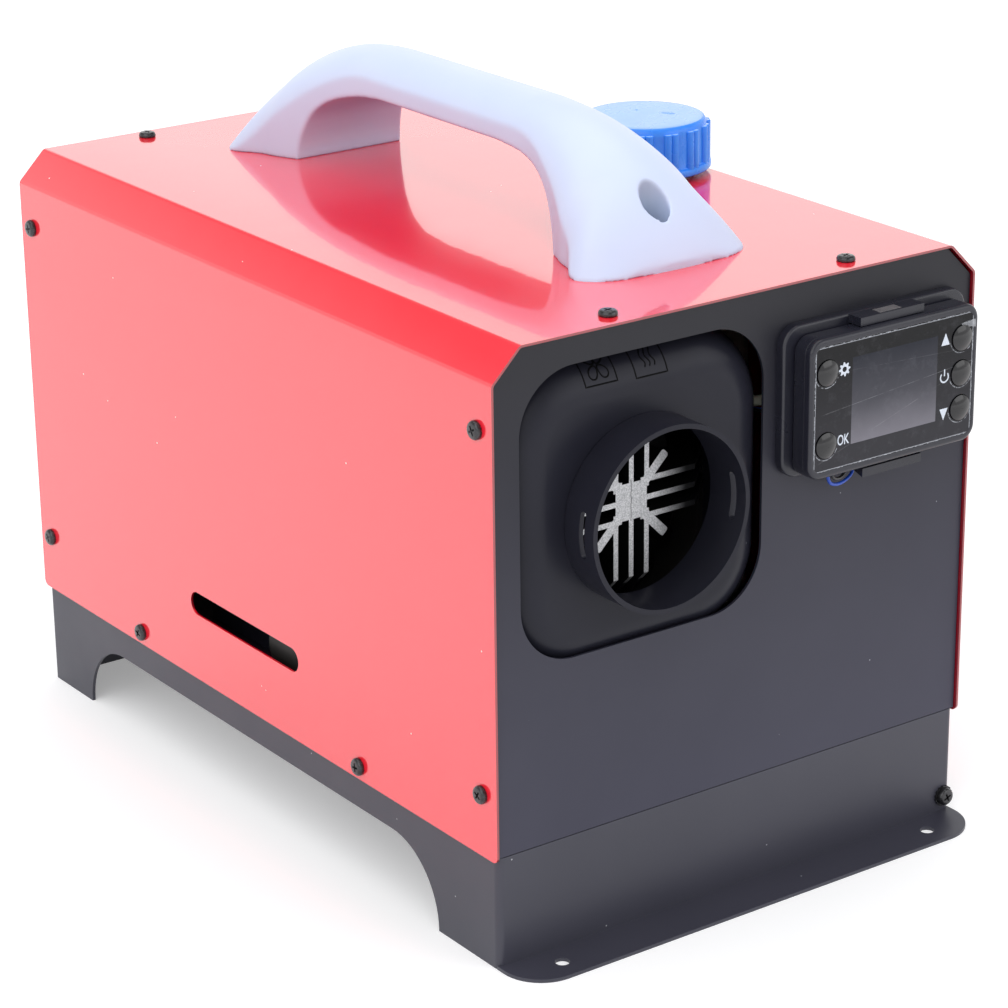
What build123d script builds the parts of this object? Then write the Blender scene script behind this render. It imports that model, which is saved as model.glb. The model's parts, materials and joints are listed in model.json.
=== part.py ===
import os
from math import cos, radians, sin, sqrt
from build123d import *

# A portable diesel air heater in a sheet steel case. Lengths are millimetres, +Z is up, the
# front faces -Y, and the origin lies on the ground under the middle of the whole outline.

os.makedirs("parts", exist_ok=True)

# Case
side_gap = 7.5           # between the outlet hood and the case's left side
middle_gap = 7.5         # between the hood's right side and the fuel tank
tank_side_gap = 5.0
roof_gap = 12.2          # over the outlet hood
stand_height = 62.5      # from the deck to the heater's gasket
fan_clearance = 24.5     # from the hot air fan to the rear panel's face
roof_bevel = 13.0        # the sloping edge between side and top
shell_sheet = 1.0
shell_lip = 1.5          # the shell runs this far past each panel
shell_foot = 46.5        # height of the shell's lower edge
bend_radius = 3.0
panel_sheet = 1.2
panel_return = 15.0      # the panels' folded edge, which takes the shell's screws
base_sheet = 1.5
base_height = 47.8       # top of the base's deck, and of its front wall
skirt_rise = 12.7        # the base's sides run up inside the shell this far over the deck
arch_height = 32.5
arch_radius = 32.0
front_foot = 41.0        # length of the front feet along the side
rear_foot = 36.0
flange_reach = 21.0      # the fixing flange ahead of the front wall
flange_corner = 18.0
flange_hole_radius = 3.0
flange_hole_inset = 10.3  # from the flange's front edge
flange_hole_from_side = 23.7
rear_reach = 12.0        # the air intake grille stands this far out behind
fit_gap = 0.3            # between pieces that only lie against each other
running_gap = 0.04       # radial, a shaft in its bush

# Screws that hold the shell
screw_radius = 1.9
screw_head_radius = 3.8
screw_head_height = 2.3
screw_length = 8.0
screw_inset = 8.2        # from each panel's face
low_screw_rise = 25.0    # over the deck
high_screw_drop = 32.2   # under the top
foot_screw_rise = 4.6    # over the deck
foot_screw_front = 94.0  # from the front panel's face
foot_screw_back = 89.0   # from the rear panel's face
roof_screw_spacing = 117.0

# Openings in the case
opening_width = 116.5
opening_height = 117.0
opening_corner = 25.0
opening_lift = 5.2       # its middle over the heater's axis
slot_length = 86.0
slot_width = 10.5
slot_from_front = 181.0
slot_rise = 34.5         # over the deck

# Heater unit
hood_half = 64.0
hood_wall = 2.5
hood_corner = 36.0
hood_depth = 50.0
hood_front = 0.6
hood_round = 19.0        # radius of its front edge
casing_wall = 2.5
casing_front = 40.0      # its front end, behind the front panel's face
casing_rib = 1.4
casing_rib_width = 3.0
collar_radius = 37.5     # takes a 75 mm duct
collar_wall = 2.0
collar_reach = 17.5      # ahead of the front panel's face
collar_root = 4.0        # the collar's length inside the hood
collar_step = 0.8        # that length is this much narrower, and the step rests on the hood
exchanger_front = 8.0    # its nose, behind the front panel's face
exchanger_length = 214.5
core_radius = 36.0
core_wall = 5.0
core_front = 30.0
fin_thickness = 2.2
fin_pitch = 7.4
fin_reach = 52.0
fin_front_reach = 31.0
fin_count_each_way = 5
foot_half = 33.0         # the cast foot's half width
foot_drop = 2.0          # the foot stands this far out under the casing
foot_lead = 38.0         # the foot starts this far ahead of the exchanger's rear end
gasket_thickness = 2.0
stand_sheet = 2.0
stand_flange = 14.0
stud_radius = 3.0
stud_spacing_x = 50.0
stud_inset = 8.0
blower_depth = 44.0
blower_half = 50.0
blower_corner = 20.0
chamber_radius = 38.0
motor_radius = 24.0
motor_length = 40.0
motor_flange = 3.0
shaft_radius = 3.0
exhaust_radius = 12.0
exhaust_wall = 1.2
exhaust_grip = 28.0      # its lower end, swaged out to take the exhaust pipe
exhaust_swage = 0.6
exhaust_foot = 16.0      # height of its lower end over the ground
exhaust_lead = 20.0      # ahead of the exchanger's rear end
intake_offset = 10.5     # the intake nipple lies this far left of the heater's axis
intake_nipple_radius = 7.5
intake_nipple_length = 16.0
hose_wall = 2.2
hose_bend = 13.5
silencer_from_side = 27.0
silencer_rise = 30.2     # its axis over the deck
silencer_radius = 20.0
silencer_front = 74.5
silencer_length = 100.5
silencer_clip_width = 16.0

# Rear intake
inlet_ring_radius = 52.0
inlet_ring_wall = 3.0
inlet_square_depth = 27.5
inlet_recess = 16.0      # its square part ends this far inside the rear panel's face
grille_rim = 3.0
grille_bar = 2.2
grille_dome = 5.5

# Fan wheels
fan_gap = 4.0
fan_hub_radius = 20.0
fan_tip_radius = 51.0
fan_length = 20.0
fan_blades = 9
impeller_radius = 34.0
impeller_blades = 12

# Fuel tank and cap
tank_width = 90.0
tank_front = 124.0       # from the front panel's face
tank_back_gap = 18.5
tank_roof_gap = 9.0
tank_wall = 3.0
tank_corner = 14.0
pad_height = 6.2
neck_from_side = 38.0
neck_inset = 41.5        # behind the tank's front end
neck_radius = 21.0
neck_wall = 2.5
cap_radius = 29.2
cap_height = 22.0
cap_gap = 2.5            # under the cap's rim, over the shell
cap_top_wall = 3.0
cap_pads = 15
seal_thickness = 1.2

# Fuel line
filter_radius = 10.0
filter_length = 38.0
nipple_radius = 3.0
nipple_length = 12.0
nipple_wall = 1.2
fuel_hose_radius = 5.5
fuel_rise = 18.2         # the tank's outlet over the deck
outlet_inset = 22.0      # the tank's outlet from the tank's left side
pump_from_side = 35.0
pump_from_front = 24.5
pump_radius = 14.0
pump_rise = 48.2         # the pump's lower end over the deck
pump_length = 72.0
pump_bore = 5.0
plunger_radius = 4.9
line_radius = 2.2
line_gap = 6.3           # from the casing's side to the line's middle
line_rise = 28.0         # over the pump

# Carrying handle
handle_x = 0.0
handle_height = 53.0
handle_span = 284.0
grip_start = 90.0        # its ridge is level from here on, measured from its end
ridge_reach = 128.0
crown_drop = 10.3        # the crown's edge lies this far under the ridge
crease_start = 18.0
grip_half = 18.0
waist_reach = 83.0
spoon_half = 42.0        # half width of its foot
spoon_round = 14.6       # length of the foot's rounded end
handle_leg = 48.0
arch_rise = 34.7         # clear height under the grip
arch_run = 52.0          # length of the curve from a leg's foot to the level part
handle_seat = 8.0        # plastic left under each screw head
handle_screw_inset = 18.0
handle_recess_radius = 6.0

# Remote controller
control_from_side = 53.3
control_below_roof = 49.6
control_width = 87.6
control_height = 57.2
control_reach = 14.5     # its face, ahead of the front panel's
control_corner = 6.5
bracket_depth = 4.0
bezel_depth = 3.5
window_width = 82.5
window_height = 51.0
window_thickness = 1.2
lcd_width = 44.5
lcd_height = 35.5
button_radius = 5.2
button_gap = 0.3
button_flange = 0.4
button_proud = 1.6
button_travel = 0.8
button_spread = 70.2     # between the left and the right buttons
menu_rise = 14.8         # over the controller's middle
ok_drop = 14.8
face_rise = 0.8          # the display and the power button over the controller's middle
side_button_pitch = 14.6
plate_side = 3.7         # the bracket's plate stands this far out round the case
plate_lift = 1.5
plate_shift = 1.2
grommet_shift = 17.7     # left of the controller's middle
grommet_drop = 17.2

# Places worked out from the sizes above
exchanger_rear = exchanger_front + exchanger_length
motor_front = exchanger_rear + blower_depth
fan_front = motor_front + motor_flange + motor_length + fan_gap
box_depth = fan_front + fan_length + fan_clearance
front_y = -(box_depth + rear_reach - flange_reach) / 2
back_y = front_y + box_depth
box_width = side_gap + 2 * hood_half + middle_gap + tank_width + tank_side_gap
half_width = box_width / 2
casing_half = hood_half - hood_wall - fit_gap
casing_corner = hood_corner - hood_wall - fit_gap
heater_x = -half_width + side_gap + hood_half
heater_z = base_height + stand_height + gasket_thickness + foot_drop + casing_half + fit_gap
box_height = heater_z + hood_half + roof_gap
inner_half = half_width - shell_sheet - fit_gap
inner_top = box_height - shell_sheet - fit_gap
heater_axis = Axis((heater_x, 0, heater_z), (0, 1, 0))
casing_bottom = heater_z - casing_half
foot_plane = casing_bottom - foot_drop
stand_top = foot_plane - gasket_thickness
casing_rear = box_depth - inlet_recess - hood_wall - inlet_ring_wall - 12
exchanger_end = front_y + exchanger_rear
blower_end = exchanger_end + blower_depth
foot_front = exchanger_end - foot_lead
foot_rear = blower_end
foot_middle = (foot_front + foot_rear) / 2
stud_rows = [foot_front + stud_inset, foot_rear - stud_inset]
exhaust_y = exchanger_end - exhaust_lead
intake_x = heater_x - intake_offset
intake_y = exchanger_end + (blower_depth + 4) / 2
silencer_x = -half_width + silencer_from_side
silencer_z = base_height + silencer_rise
silencer_rear = silencer_front + silencer_length
tank_right = half_width - tank_side_gap
tank_left = tank_right - tank_width
tank_top = box_height - tank_roof_gap
tank_rear = box_depth - tank_back_gap
neck_x = half_width - neck_from_side
neck_y = front_y + tank_front + neck_inset
cap_foot = box_height + cap_gap
cap_ceiling = cap_foot + cap_height - cap_top_wall
neck_top = cap_ceiling - seal_thickness - 2 * fit_gap
fuel_height = base_height + fuel_rise
filter_x = tank_left + outlet_inset
pump_x = half_width - pump_from_side
pump_y = front_y + pump_from_front
pump_foot = base_height + pump_rise
pump_top = pump_foot + pump_length
line_x = heater_x + casing_half + line_gap
line_height = pump_top + line_rise
handle_y = front_y + box_depth / 2
control_x = half_width - control_from_side
control_z = box_height - control_below_roof
low_screw = base_height + low_screw_rise
high_screw = box_height - high_screw_drop
foot_screw = base_height + foot_screw_rise


def facing(depth):
    """A sketch plane that faces the front, at this depth behind the front panel's face."""
    return Plane.XZ.offset(-(front_y + depth))


def case_points(half, top, bottom):
    """The case's cross section: upright sides, sloping edges and a flat top."""
    return [
        (-half, bottom),
        (-half, top - roof_bevel),
        (-half + roof_bevel, top),
        (half - roof_bevel, top),
        (half, top - roof_bevel),
        (half, bottom),
    ]


def side_screw_places():
    """Depth and height of each screw on one side of the shell."""
    return [
        (screw_inset, low_screw),
        (screw_inset, high_screw),
        (box_depth - screw_inset, low_screw),
        (box_depth - screw_inset, high_screw),
        (foot_screw_front, foot_screw),
        (box_depth - foot_screw_back, foot_screw),
    ]


def roof_screw_places():
    """Across and along places of the screws on the shell's top."""
    return [
        (side * roof_screw_spacing / 2, front_y + depth)
        for side in (-1, 1)
        for depth in (screw_inset, box_depth - screw_inset)
    ]


# Outer shell: one sheet folded over both sides and the top
hole_radius = screw_radius + fit_gap
with BuildPart() as outer_shell:
    with BuildSketch(facing(-shell_lip)) as shell_section:
        with BuildLine():
            Polyline(*case_points(half_width, box_height, shell_foot - shell_sheet), close=True)
        make_face()
        fillet(shell_section.vertices().filter_by(lambda v: v.Y > shell_foot), bend_radius)
        offset(amount=-shell_sheet, mode=Mode.SUBTRACT)
        with Locations((0, shell_foot - shell_sheet / 2)):
            Rectangle(box_width, shell_sheet, mode=Mode.SUBTRACT)
    extrude(amount=-(box_depth + 2 * shell_lip))
    fillet(outer_shell.edges().filter_by(Axis.X).group_by(Axis.Z)[0], bend_radius)
    with BuildSketch(Plane.YZ.offset(-half_width)):
        with Locations((front_y + slot_from_front, base_height + slot_rise)):
            SlotOverall(slot_length, slot_width)
    extrude(amount=2 * shell_sheet, mode=Mode.SUBTRACT)
    with BuildSketch(Plane.YZ.offset(-half_width)):
        with Locations(*[(front_y + depth, height) for depth, height in side_screw_places()]):
            Circle(hole_radius)
    extrude(amount=box_width, mode=Mode.SUBTRACT)
    with BuildSketch(Plane.XY.offset(box_height)):
        with Locations(*roof_screw_places()):
            Circle(hole_radius)
        with Locations((neck_x, neck_y)):
            Circle(neck_radius + cap_gap)
        with Locations((handle_x, handle_y)):
            with GridLocations(1, handle_span - 2 * handle_screw_inset, 1, 2):
                Circle(stud_radius)
    extrude(amount=-2 * shell_sheet, mode=Mode.SUBTRACT)
outer_shell.part.label = "outer_shell"
export_step(outer_shell.part, "parts/outer_shell.step")


def folded_panel(face_y, inward):
    """A panel with its sides and top folded inwards, and the rounded square opening."""
    bottom = base_height + fit_gap
    with BuildPart() as panel:
        with BuildSketch(Plane.XZ.offset(-face_y)) as outline:
            with BuildLine():
                Polyline(*case_points(inner_half, inner_top, bottom), close=True)
            make_face()
            fillet(outline.vertices().filter_by(lambda v: v.Y > bottom + 1), bend_radius)
        extrude(amount=-inward * panel_return)
        with BuildSketch(Plane.XZ.offset(-(face_y + inward * panel_sheet))) as hollow:
            with BuildLine():
                inner = case_points(inner_half - panel_sheet, inner_top - panel_sheet, bottom - 1)
                Polyline(*inner, close=True)
            make_face()
            fillet(hollow.vertices().filter_by(lambda v: v.Y > bottom + 1), bend_radius)
        extrude(amount=-inward * panel_return, mode=Mode.SUBTRACT)
        with BuildSketch(Plane.XZ.offset(-face_y)):
            with Locations((heater_x, heater_z + opening_lift)):
                RectangleRounded(opening_width, opening_height, opening_corner)
        extrude(amount=-inward * 2 * panel_sheet, mode=Mode.SUBTRACT)
        with BuildSketch(Plane.YZ.offset(-half_width)):
            with Locations((face_y + inward * screw_inset, low_screw)):
                Circle(hole_radius)
            with Locations((face_y + inward * screw_inset, high_screw)):
                Circle(hole_radius)
        extrude(amount=box_width, mode=Mode.SUBTRACT)
        with BuildSketch(Plane.XY.offset(box_height)):
            with Locations((0, face_y + inward * screw_inset)):
                with GridLocations(roof_screw_spacing, 1, 2, 1):
                    Circle(hole_radius)
        extrude(amount=-5 * panel_sheet, mode=Mode.SUBTRACT)
    return panel


# Front panel, with the hole behind the controller for its cable
grommet_x = control_x - grommet_shift
grommet_z = control_z - grommet_drop
wire_lead = 24.0         # where the wires enter the casing, behind the exchanger
grommet_bore = 3.0
grommet_wall = 1.2
grommet_flange = 5.5
front_sheet = folded_panel(front_y, 1)
with BuildPart() as front_panel:
    add(front_sheet.part)
    with BuildSketch(facing(0)):
        with Locations((grommet_x, grommet_z)):
            Circle(grommet_bore + grommet_wall + fit_gap)
    extrude(amount=-2 * panel_sheet, mode=Mode.SUBTRACT)
front_panel.part.label = "front_panel"
export_step(front_panel.part, "parts/front_panel.step")

# Rear panel, with the hole for the power lead's gland
gland_x = half_width - 59
gland_z = base_height + 28.2
gland_radius = 6.0
rear_sheet = folded_panel(back_y, -1)
with BuildPart() as rear_panel:
    add(rear_sheet.part)
    with BuildSketch(facing(box_depth)):
        with Locations((gland_x, gland_z)):
            Circle(gland_radius + fit_gap)
    extrude(amount=2 * panel_sheet, mode=Mode.SUBTRACT)
rear_panel.part.label = "rear_panel"
export_step(rear_panel.part, "parts/rear_panel.step")

# Base tray: deck, front and rear walls, arched side skirts and the fixing flange
arch_start = front_y + front_foot
arch_end = back_y - rear_foot
deck_bottom = base_height - base_sheet
ground_x = half_width - 5.5
ground_z = 8.3
with BuildPart() as base_tray:
    with BuildSketch(Plane.XY) as tray_plan:
        with Locations((0, front_y + box_depth / 2)):
            Rectangle(2 * inner_half, box_depth)
        fillet(tray_plan.vertices(), bend_radius)
    extrude(amount=base_height)
    with BuildSketch(Plane.XY) as tray_inside:
        with Locations((0, front_y + box_depth / 2)):
            Rectangle(2 * (inner_half - base_sheet), box_depth - 2 * base_sheet)
        fillet(tray_inside.vertices(), bend_radius - base_sheet)
    extrude(amount=deck_bottom, mode=Mode.SUBTRACT)
    with BuildSketch(Plane.YZ.offset(-half_width)) as arch:
        with Locations(((arch_start + arch_end) / 2, (arch_height - arch_radius) / 2)):
            Rectangle(arch_end - arch_start, arch_height + arch_radius)
        fillet(arch.vertices().group_by(Axis.Y)[-1], arch_radius)
    extrude(amount=box_width, mode=Mode.SUBTRACT)
    skirt_length = box_depth - 2 * (panel_return + bend_radius)
    for side in (-1, 1):
        with BuildSketch(Plane.XY.offset(deck_bottom)):
            with Locations((side * (inner_half - base_sheet / 2), front_y + box_depth / 2)):
                Rectangle(base_sheet, skirt_length)
        extrude(amount=skirt_rise + base_sheet)
    with BuildSketch(Plane.XY) as flange_plan:
        with Locations((0, front_y - flange_reach / 2 + base_sheet / 2)):
            Rectangle(2 * inner_half, flange_reach + base_sheet)
        fillet(flange_plan.vertices().group_by(Axis.Y)[0], flange_corner)
        with Locations((0, front_y - flange_reach + flange_hole_inset)):
            with GridLocations(box_width - 2 * flange_hole_from_side, 1, 2, 1):
                Circle(flange_hole_radius, mode=Mode.SUBTRACT)
    extrude(amount=base_sheet)
    with BuildSketch(Plane.YZ.offset(-half_width)):
        with Locations((front_y + foot_screw_front, foot_screw)):
            Circle(hole_radius)
        with Locations((back_y - foot_screw_back, foot_screw)):
            Circle(hole_radius)
    extrude(amount=box_width, mode=Mode.SUBTRACT)
    with BuildSketch(Plane.XY.offset(base_height)):
        with Locations((heater_x, exhaust_y)):
            Circle(exhaust_radius + 2)
    extrude(amount=-2 * base_sheet, mode=Mode.SUBTRACT)
    with BuildSketch(facing(0)):
        with Locations((ground_x, ground_z)):
            Circle(screw_radius + fit_gap)
    extrude(amount=-2 * base_sheet, mode=Mode.SUBTRACT)
base_tray.part.label = "base_tray"
export_step(base_tray.part, "parts/base_tray.step")


def pan_screw(shank_radius, head_radius, head_height, length):
    """A pan head screw along Z, head up, its bearing face at height 0."""
    crown = head_radius * 0.55
    with BuildPart() as screw:
        with BuildSketch(Plane.XZ):
            with BuildLine():
                Polyline((0, -length), (shank_radius, -length), (shank_radius, 0),
                         (head_radius, 0), (head_radius, head_height * 0.35),
                         (crown, head_height), (0, head_height), close=True)
            make_face()
        revolve(axis=Axis.Z)
    return screw.part


# Shell screws
shell_screw = pan_screw(screw_radius, screw_head_radius, screw_head_height, screw_length)
with BuildPart() as shell_screws:
    for side in (-1, 1):
        for depth, height in side_screw_places():
            spot = Plane(origin=(side * half_width, front_y + depth, height),
                         x_dir=(0, 1, 0), z_dir=(side, 0, 0))
            add(spot * shell_screw)
    for across, along in roof_screw_places():
        add(Pos(across, along, box_height) * shell_screw)
shell_screws.part.label = "shell_screws"
export_step(shell_screws.part, "parts/shell_screws.step")

# Earth screw and its washer on the front wall
washer_radius = 4.6
washer_thickness = 1.0
with BuildPart() as ground_screw:
    washer_face = Plane(origin=(ground_x, front_y, ground_z), x_dir=(1, 0, 0), z_dir=(0, -1, 0))
    with BuildSketch(washer_face):
        Circle(washer_radius)
        Circle(screw_radius + fit_gap, mode=Mode.SUBTRACT)
    extrude(amount=washer_thickness)
    add(washer_face.offset(washer_thickness) * shell_screw)
ground_screw.part.label = "ground_screw"
export_step(ground_screw.part, "parts/ground_screw.step")

# Carrying handle: crowned sections from spoon shaped feet to a narrow grip, over an arch
handle_base = box_height
handle_near = handle_y - handle_span / 2
handle_far = handle_y + handle_span / 2


def handle_shape(reach):
    """Half width, ridge height and crease height at this distance from the handle's end."""
    climb = 1 - (1 - min(reach, grip_start) / ridge_reach) ** 4.2
    ridge = handle_height * climb / (1 - (1 - grip_start / ridge_reach) ** 4.2)
    if reach < spoon_round:
        half = spoon_half * sqrt(1 - (1 - reach / spoon_round) ** 2)
    else:
        narrowing = min((reach - spoon_round) / (waist_reach - spoon_round), 1)
        half = grip_half + (spoon_half - grip_half) * (1 - narrowing) ** 1.4
    lift = min(max((reach - crease_start) / (grip_start - crease_start), 0), 1)
    crease = (handle_height - crown_drop) * (1 - (1 - lift) ** 1.9)
    return half, ridge, crease


def handle_section(along, reach):
    """The handle's cross section there: a crowned top on upright sides."""
    half, ridge, crease = handle_shape(reach)
    with BuildSketch(Plane.XZ.offset(-along)) as section:
        with BuildLine():
            ThreePointArc((handle_x - half, handle_base + crease), (handle_x, handle_base + ridge),
                          (handle_x + half, handle_base + crease))
            Polyline((handle_x + half, handle_base + crease), (handle_x + half, handle_base - 2),
                     (handle_x - half, handle_base - 2), (handle_x - half, handle_base + crease))
        make_face()
    return section.sketch


handle_reaches = [0.6, 3, 8, spoon_round, 24, 34, 44, 56, 68, 80, grip_start]
grip_length = handle_span - 2 * grip_start
with BuildPart() as carry_handle:
    loft([handle_section(handle_near + reach, reach) for reach in handle_reaches])
    loft([handle_section(handle_far - reach, reach) for reach in handle_reaches])
    extrude(handle_section(handle_near + grip_start, grip_start), amount=-grip_length)
    with BuildSketch(Plane.XY.offset(handle_base)):
        with Locations((handle_x, handle_y)):
            Rectangle(3 * spoon_half, handle_span + 10)
    extrude(amount=-5, mode=Mode.SUBTRACT)
    arch_shares = [(0, -0.03), (0.02, 0.2), (0.07, 0.4), (0.155, 0.61), (0.32, 0.8), (0.54, 0.91), (0.8, 0.975), (1, 1)]
    arch_curve = [(handle_leg + run * arch_run, rise * arch_rise) for run, rise in arch_shares]
    with BuildSketch(Plane.YZ.offset(handle_x - 2 * spoon_half)):
        with BuildLine():
            near_side = [(handle_near + reach, handle_base + height) for reach, height in arch_curve]
            far_side = [(handle_far - reach, handle_base + height) for reach, height in arch_curve]
            Spline(*near_side)
            Line(near_side[-1], far_side[-1])
            Spline(*far_side)
            Line(near_side[0], far_side[0])
        make_face()
    extrude(amount=4 * spoon_half, mode=Mode.SUBTRACT)
    with BuildSketch(Plane.XY.offset(handle_base + handle_seat)):
        with Locations((handle_x, handle_y)):
            with GridLocations(1, handle_span - 2 * handle_screw_inset, 1, 2):
                Circle(handle_recess_radius)
    extrude(amount=handle_height, mode=Mode.SUBTRACT)
    with BuildSketch(Plane.XY.offset(handle_base)):
        with Locations((handle_x, handle_y)):
            with GridLocations(1, handle_span - 2 * handle_screw_inset, 1, 2):
                Circle(stud_radius)
    extrude(amount=handle_seat, mode=Mode.SUBTRACT)
carry_handle.part.label = "carry_handle"
export_step(carry_handle.part, "parts/carry_handle.step")

# Handle screws with their nuts under the shell's top
handle_screw_radius = 2.4
handle_nut_height = 4.0
handle_screw = pan_screw(handle_screw_radius, handle_recess_radius - 1, 3.4, 16)
with BuildPart() as handle_screws:
    for end in (-1, 1):
        along = handle_y + end * (handle_span / 2 - handle_screw_inset)
        nut_plane = Plane.XY.offset(box_height - shell_sheet)
        add(Pos(handle_x, along, handle_base + handle_seat) * handle_screw)
        with BuildSketch(nut_plane):
            with Locations((handle_x, along)):
                RegularPolygon(4.5, 6)
                Circle(handle_screw_radius + running_gap, mode=Mode.SUBTRACT)
        extrude(amount=-handle_nut_height)
handle_screws.part.label = "handle_screws"
export_step(handle_screws.part, "parts/handle_screws.step")

# Fuel tank, hollow, with its neck through the shell and its outlet low on the front wall
tank_floor = base_height + pad_height
tank_x = (tank_left + tank_right) / 2
tank_y = front_y + (tank_front + tank_rear) / 2
tank_z = (tank_floor + tank_top) / 2
tank_length = tank_rear - tank_front
with BuildPart() as fuel_tank:
    with Locations((tank_x, tank_y, tank_z)):
        Box(tank_width, tank_length, tank_top - tank_floor)
    fillet(fuel_tank.edges(), tank_corner)
    with BuildSketch(Plane.XY.offset(tank_top - tank_wall)):
        with Locations((neck_x, neck_y)):
            Circle(neck_radius)
    extrude(amount=neck_top - tank_top + tank_wall)
    with BuildSketch(facing(tank_front)):
        with Locations((filter_x, fuel_height)):
            Circle(nipple_radius)
    extrude(amount=nipple_length)
    with BuildSketch(facing(tank_front + tank_wall)):
        with Locations((filter_x, fuel_height)):
            Circle(nipple_radius + 1.5)
    extrude(amount=tank_wall)
with BuildPart() as tank_space:
    with Locations((tank_x, tank_y, tank_z)):
        Box(tank_width - 2 * tank_wall, tank_length - 2 * tank_wall, tank_top - tank_floor - 2 * tank_wall)
    fillet(tank_space.edges(), tank_corner - tank_wall)
    with BuildSketch(Plane.XY.offset(tank_top - 2 * tank_wall)):
        with Locations((neck_x, neck_y)):
            Circle(neck_radius - neck_wall)
    extrude(amount=neck_top - tank_top + 3 * tank_wall)
    with BuildSketch(facing(tank_front + 2 * tank_wall)):
        with Locations((filter_x, fuel_height)):
            Circle(nipple_radius - nipple_wall)
    extrude(amount=nipple_length + 3 * tank_wall)
with BuildPart() as hollow_tank:
    add(fuel_tank.part)
    add(tank_space.part, mode=Mode.SUBTRACT)
hollow_tank.part.label = "fuel_tank"
export_step(hollow_tank.part, "parts/fuel_tank.step")

# Two rubber pads carry the tank on the deck
pad_width = 70.0
pad_length = 30.0
with BuildPart() as tank_pads:
    with BuildSketch(Plane.XY.offset(base_height)):
        with Locations((tank_x, tank_y)):
            with GridLocations(1, tank_length - 2.4 * pad_length, 1, 2):
                RectangleRounded(pad_width, pad_length, 4)
    extrude(amount=pad_height)
tank_pads.part.label = "tank_pads"
export_step(tank_pads.part, "parts/tank_pads.step")

# Fuel cap with twin grip ribs round it
cap_wall = 2.6
cap_rim_height = 2.2
cap_body_radius = cap_radius - 2.0
pad_turn = 9.4           # the first pad's place round the cap
with BuildPart() as fuel_cap:
    with BuildSketch(Plane.XY.offset(cap_foot)):
        with Locations((neck_x, neck_y)):
            Circle(cap_body_radius)
    extrude(amount=cap_height)
    fillet(fuel_cap.edges().group_by(Axis.Z)[-1], 1.2)
    with BuildSketch(Plane.XY.offset(cap_foot)):
        with Locations((neck_x, neck_y)):
            Circle(cap_radius)
    extrude(amount=cap_rim_height)
    rib_width = 2.3
    rib_spread = 4.4
    with BuildSketch(Plane.XY.offset(cap_foot)):
        with Locations((neck_x, neck_y)):
            with PolarLocations(0, cap_pads, start_angle=pad_turn):
                with Locations((cap_body_radius, -rib_spread / 2), (cap_body_radius, rib_spread / 2)):
                    Rectangle(2 * (cap_radius - 0.4 - cap_body_radius), rib_width)
    extrude(amount=cap_height - 2.4)
    with BuildSketch(Plane.XY.offset(cap_foot)):
        with Locations((neck_x, neck_y)):
            Circle(neck_radius + 2 * fit_gap)
    extrude(amount=cap_height - cap_top_wall, mode=Mode.SUBTRACT)
fuel_cap.part.label = "fuel_cap"
export_step(fuel_cap.part, "parts/fuel_cap.step")

# Sealing ring over the neck's lip
with BuildPart() as cap_seal:
    with BuildSketch(Plane.XY.offset(neck_top + fit_gap)):
        with Locations((neck_x, neck_y)):
            Circle(neck_radius)
            Circle(neck_radius - neck_wall - 1, mode=Mode.SUBTRACT)
    extrude(amount=seal_thickness)
cap_seal.part.label = "cap_seal"
export_step(cap_seal.part, "parts/cap_seal.step")

# In-line fuel filter
filter_rear = tank_front - nipple_length - 6.0 - nipple_length
with BuildPart() as fuel_filter:
    with BuildSketch(facing(filter_rear - filter_length)):
        with Locations((filter_x, fuel_height)):
            Circle(filter_radius)
    extrude(amount=-filter_length)
    chamfer(fuel_filter.edges().filter_by(GeomType.CIRCLE), 2.5)
    with BuildSketch(facing(filter_rear - filter_length - nipple_length)):
        with Locations((filter_x, fuel_height)):
            Circle(nipple_radius)
    extrude(amount=-(filter_length + 2 * nipple_length))
    with BuildSketch(facing(filter_rear - filter_length - nipple_length)):
        with Locations((filter_x, fuel_height)):
            Circle(nipple_radius - nipple_wall)
    extrude(amount=-(filter_length + 2 * nipple_length), mode=Mode.SUBTRACT)
fuel_filter.part.label = "fuel_filter"
export_step(fuel_filter.part, "parts/fuel_filter.step")

# Hose from the tank to the filter
with BuildPart() as tank_hose:
    with BuildSketch(facing(filter_rear + fit_gap)):
        with Locations((filter_x, fuel_height)):
            Circle(fuel_hose_radius)
            Circle(nipple_radius + fit_gap, mode=Mode.SUBTRACT)
    extrude(amount=-(tank_front - filter_rear - 2 * fit_gap))
tank_hose.part.label = "tank_hose"
export_step(tank_hose.part, "parts/tank_hose.step")

# Hose from the filter to the pump
filter_nose = front_y + filter_rear - filter_length
pump_hose_bend = 16.0
with BuildPart() as pump_hose:
    with BuildLine() as pump_route:
        FilletPolyline(
            (filter_x, filter_nose - fit_gap, fuel_height),
            (filter_x, pump_y, fuel_height),
            (pump_x, pump_y, fuel_height),
            (pump_x, pump_y, pump_foot - fit_gap),
            radius=pump_hose_bend,
        )
    with BuildSketch(Plane(origin=pump_route.line @ 0, z_dir=pump_route.line % 0)):
        Circle(fuel_hose_radius)
        Circle(nipple_radius + fit_gap, mode=Mode.SUBTRACT)
    sweep(path=pump_route.line)
pump_hose.part.label = "pump_hose"
export_step(pump_hose.part, "parts/pump_hose.step")

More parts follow.
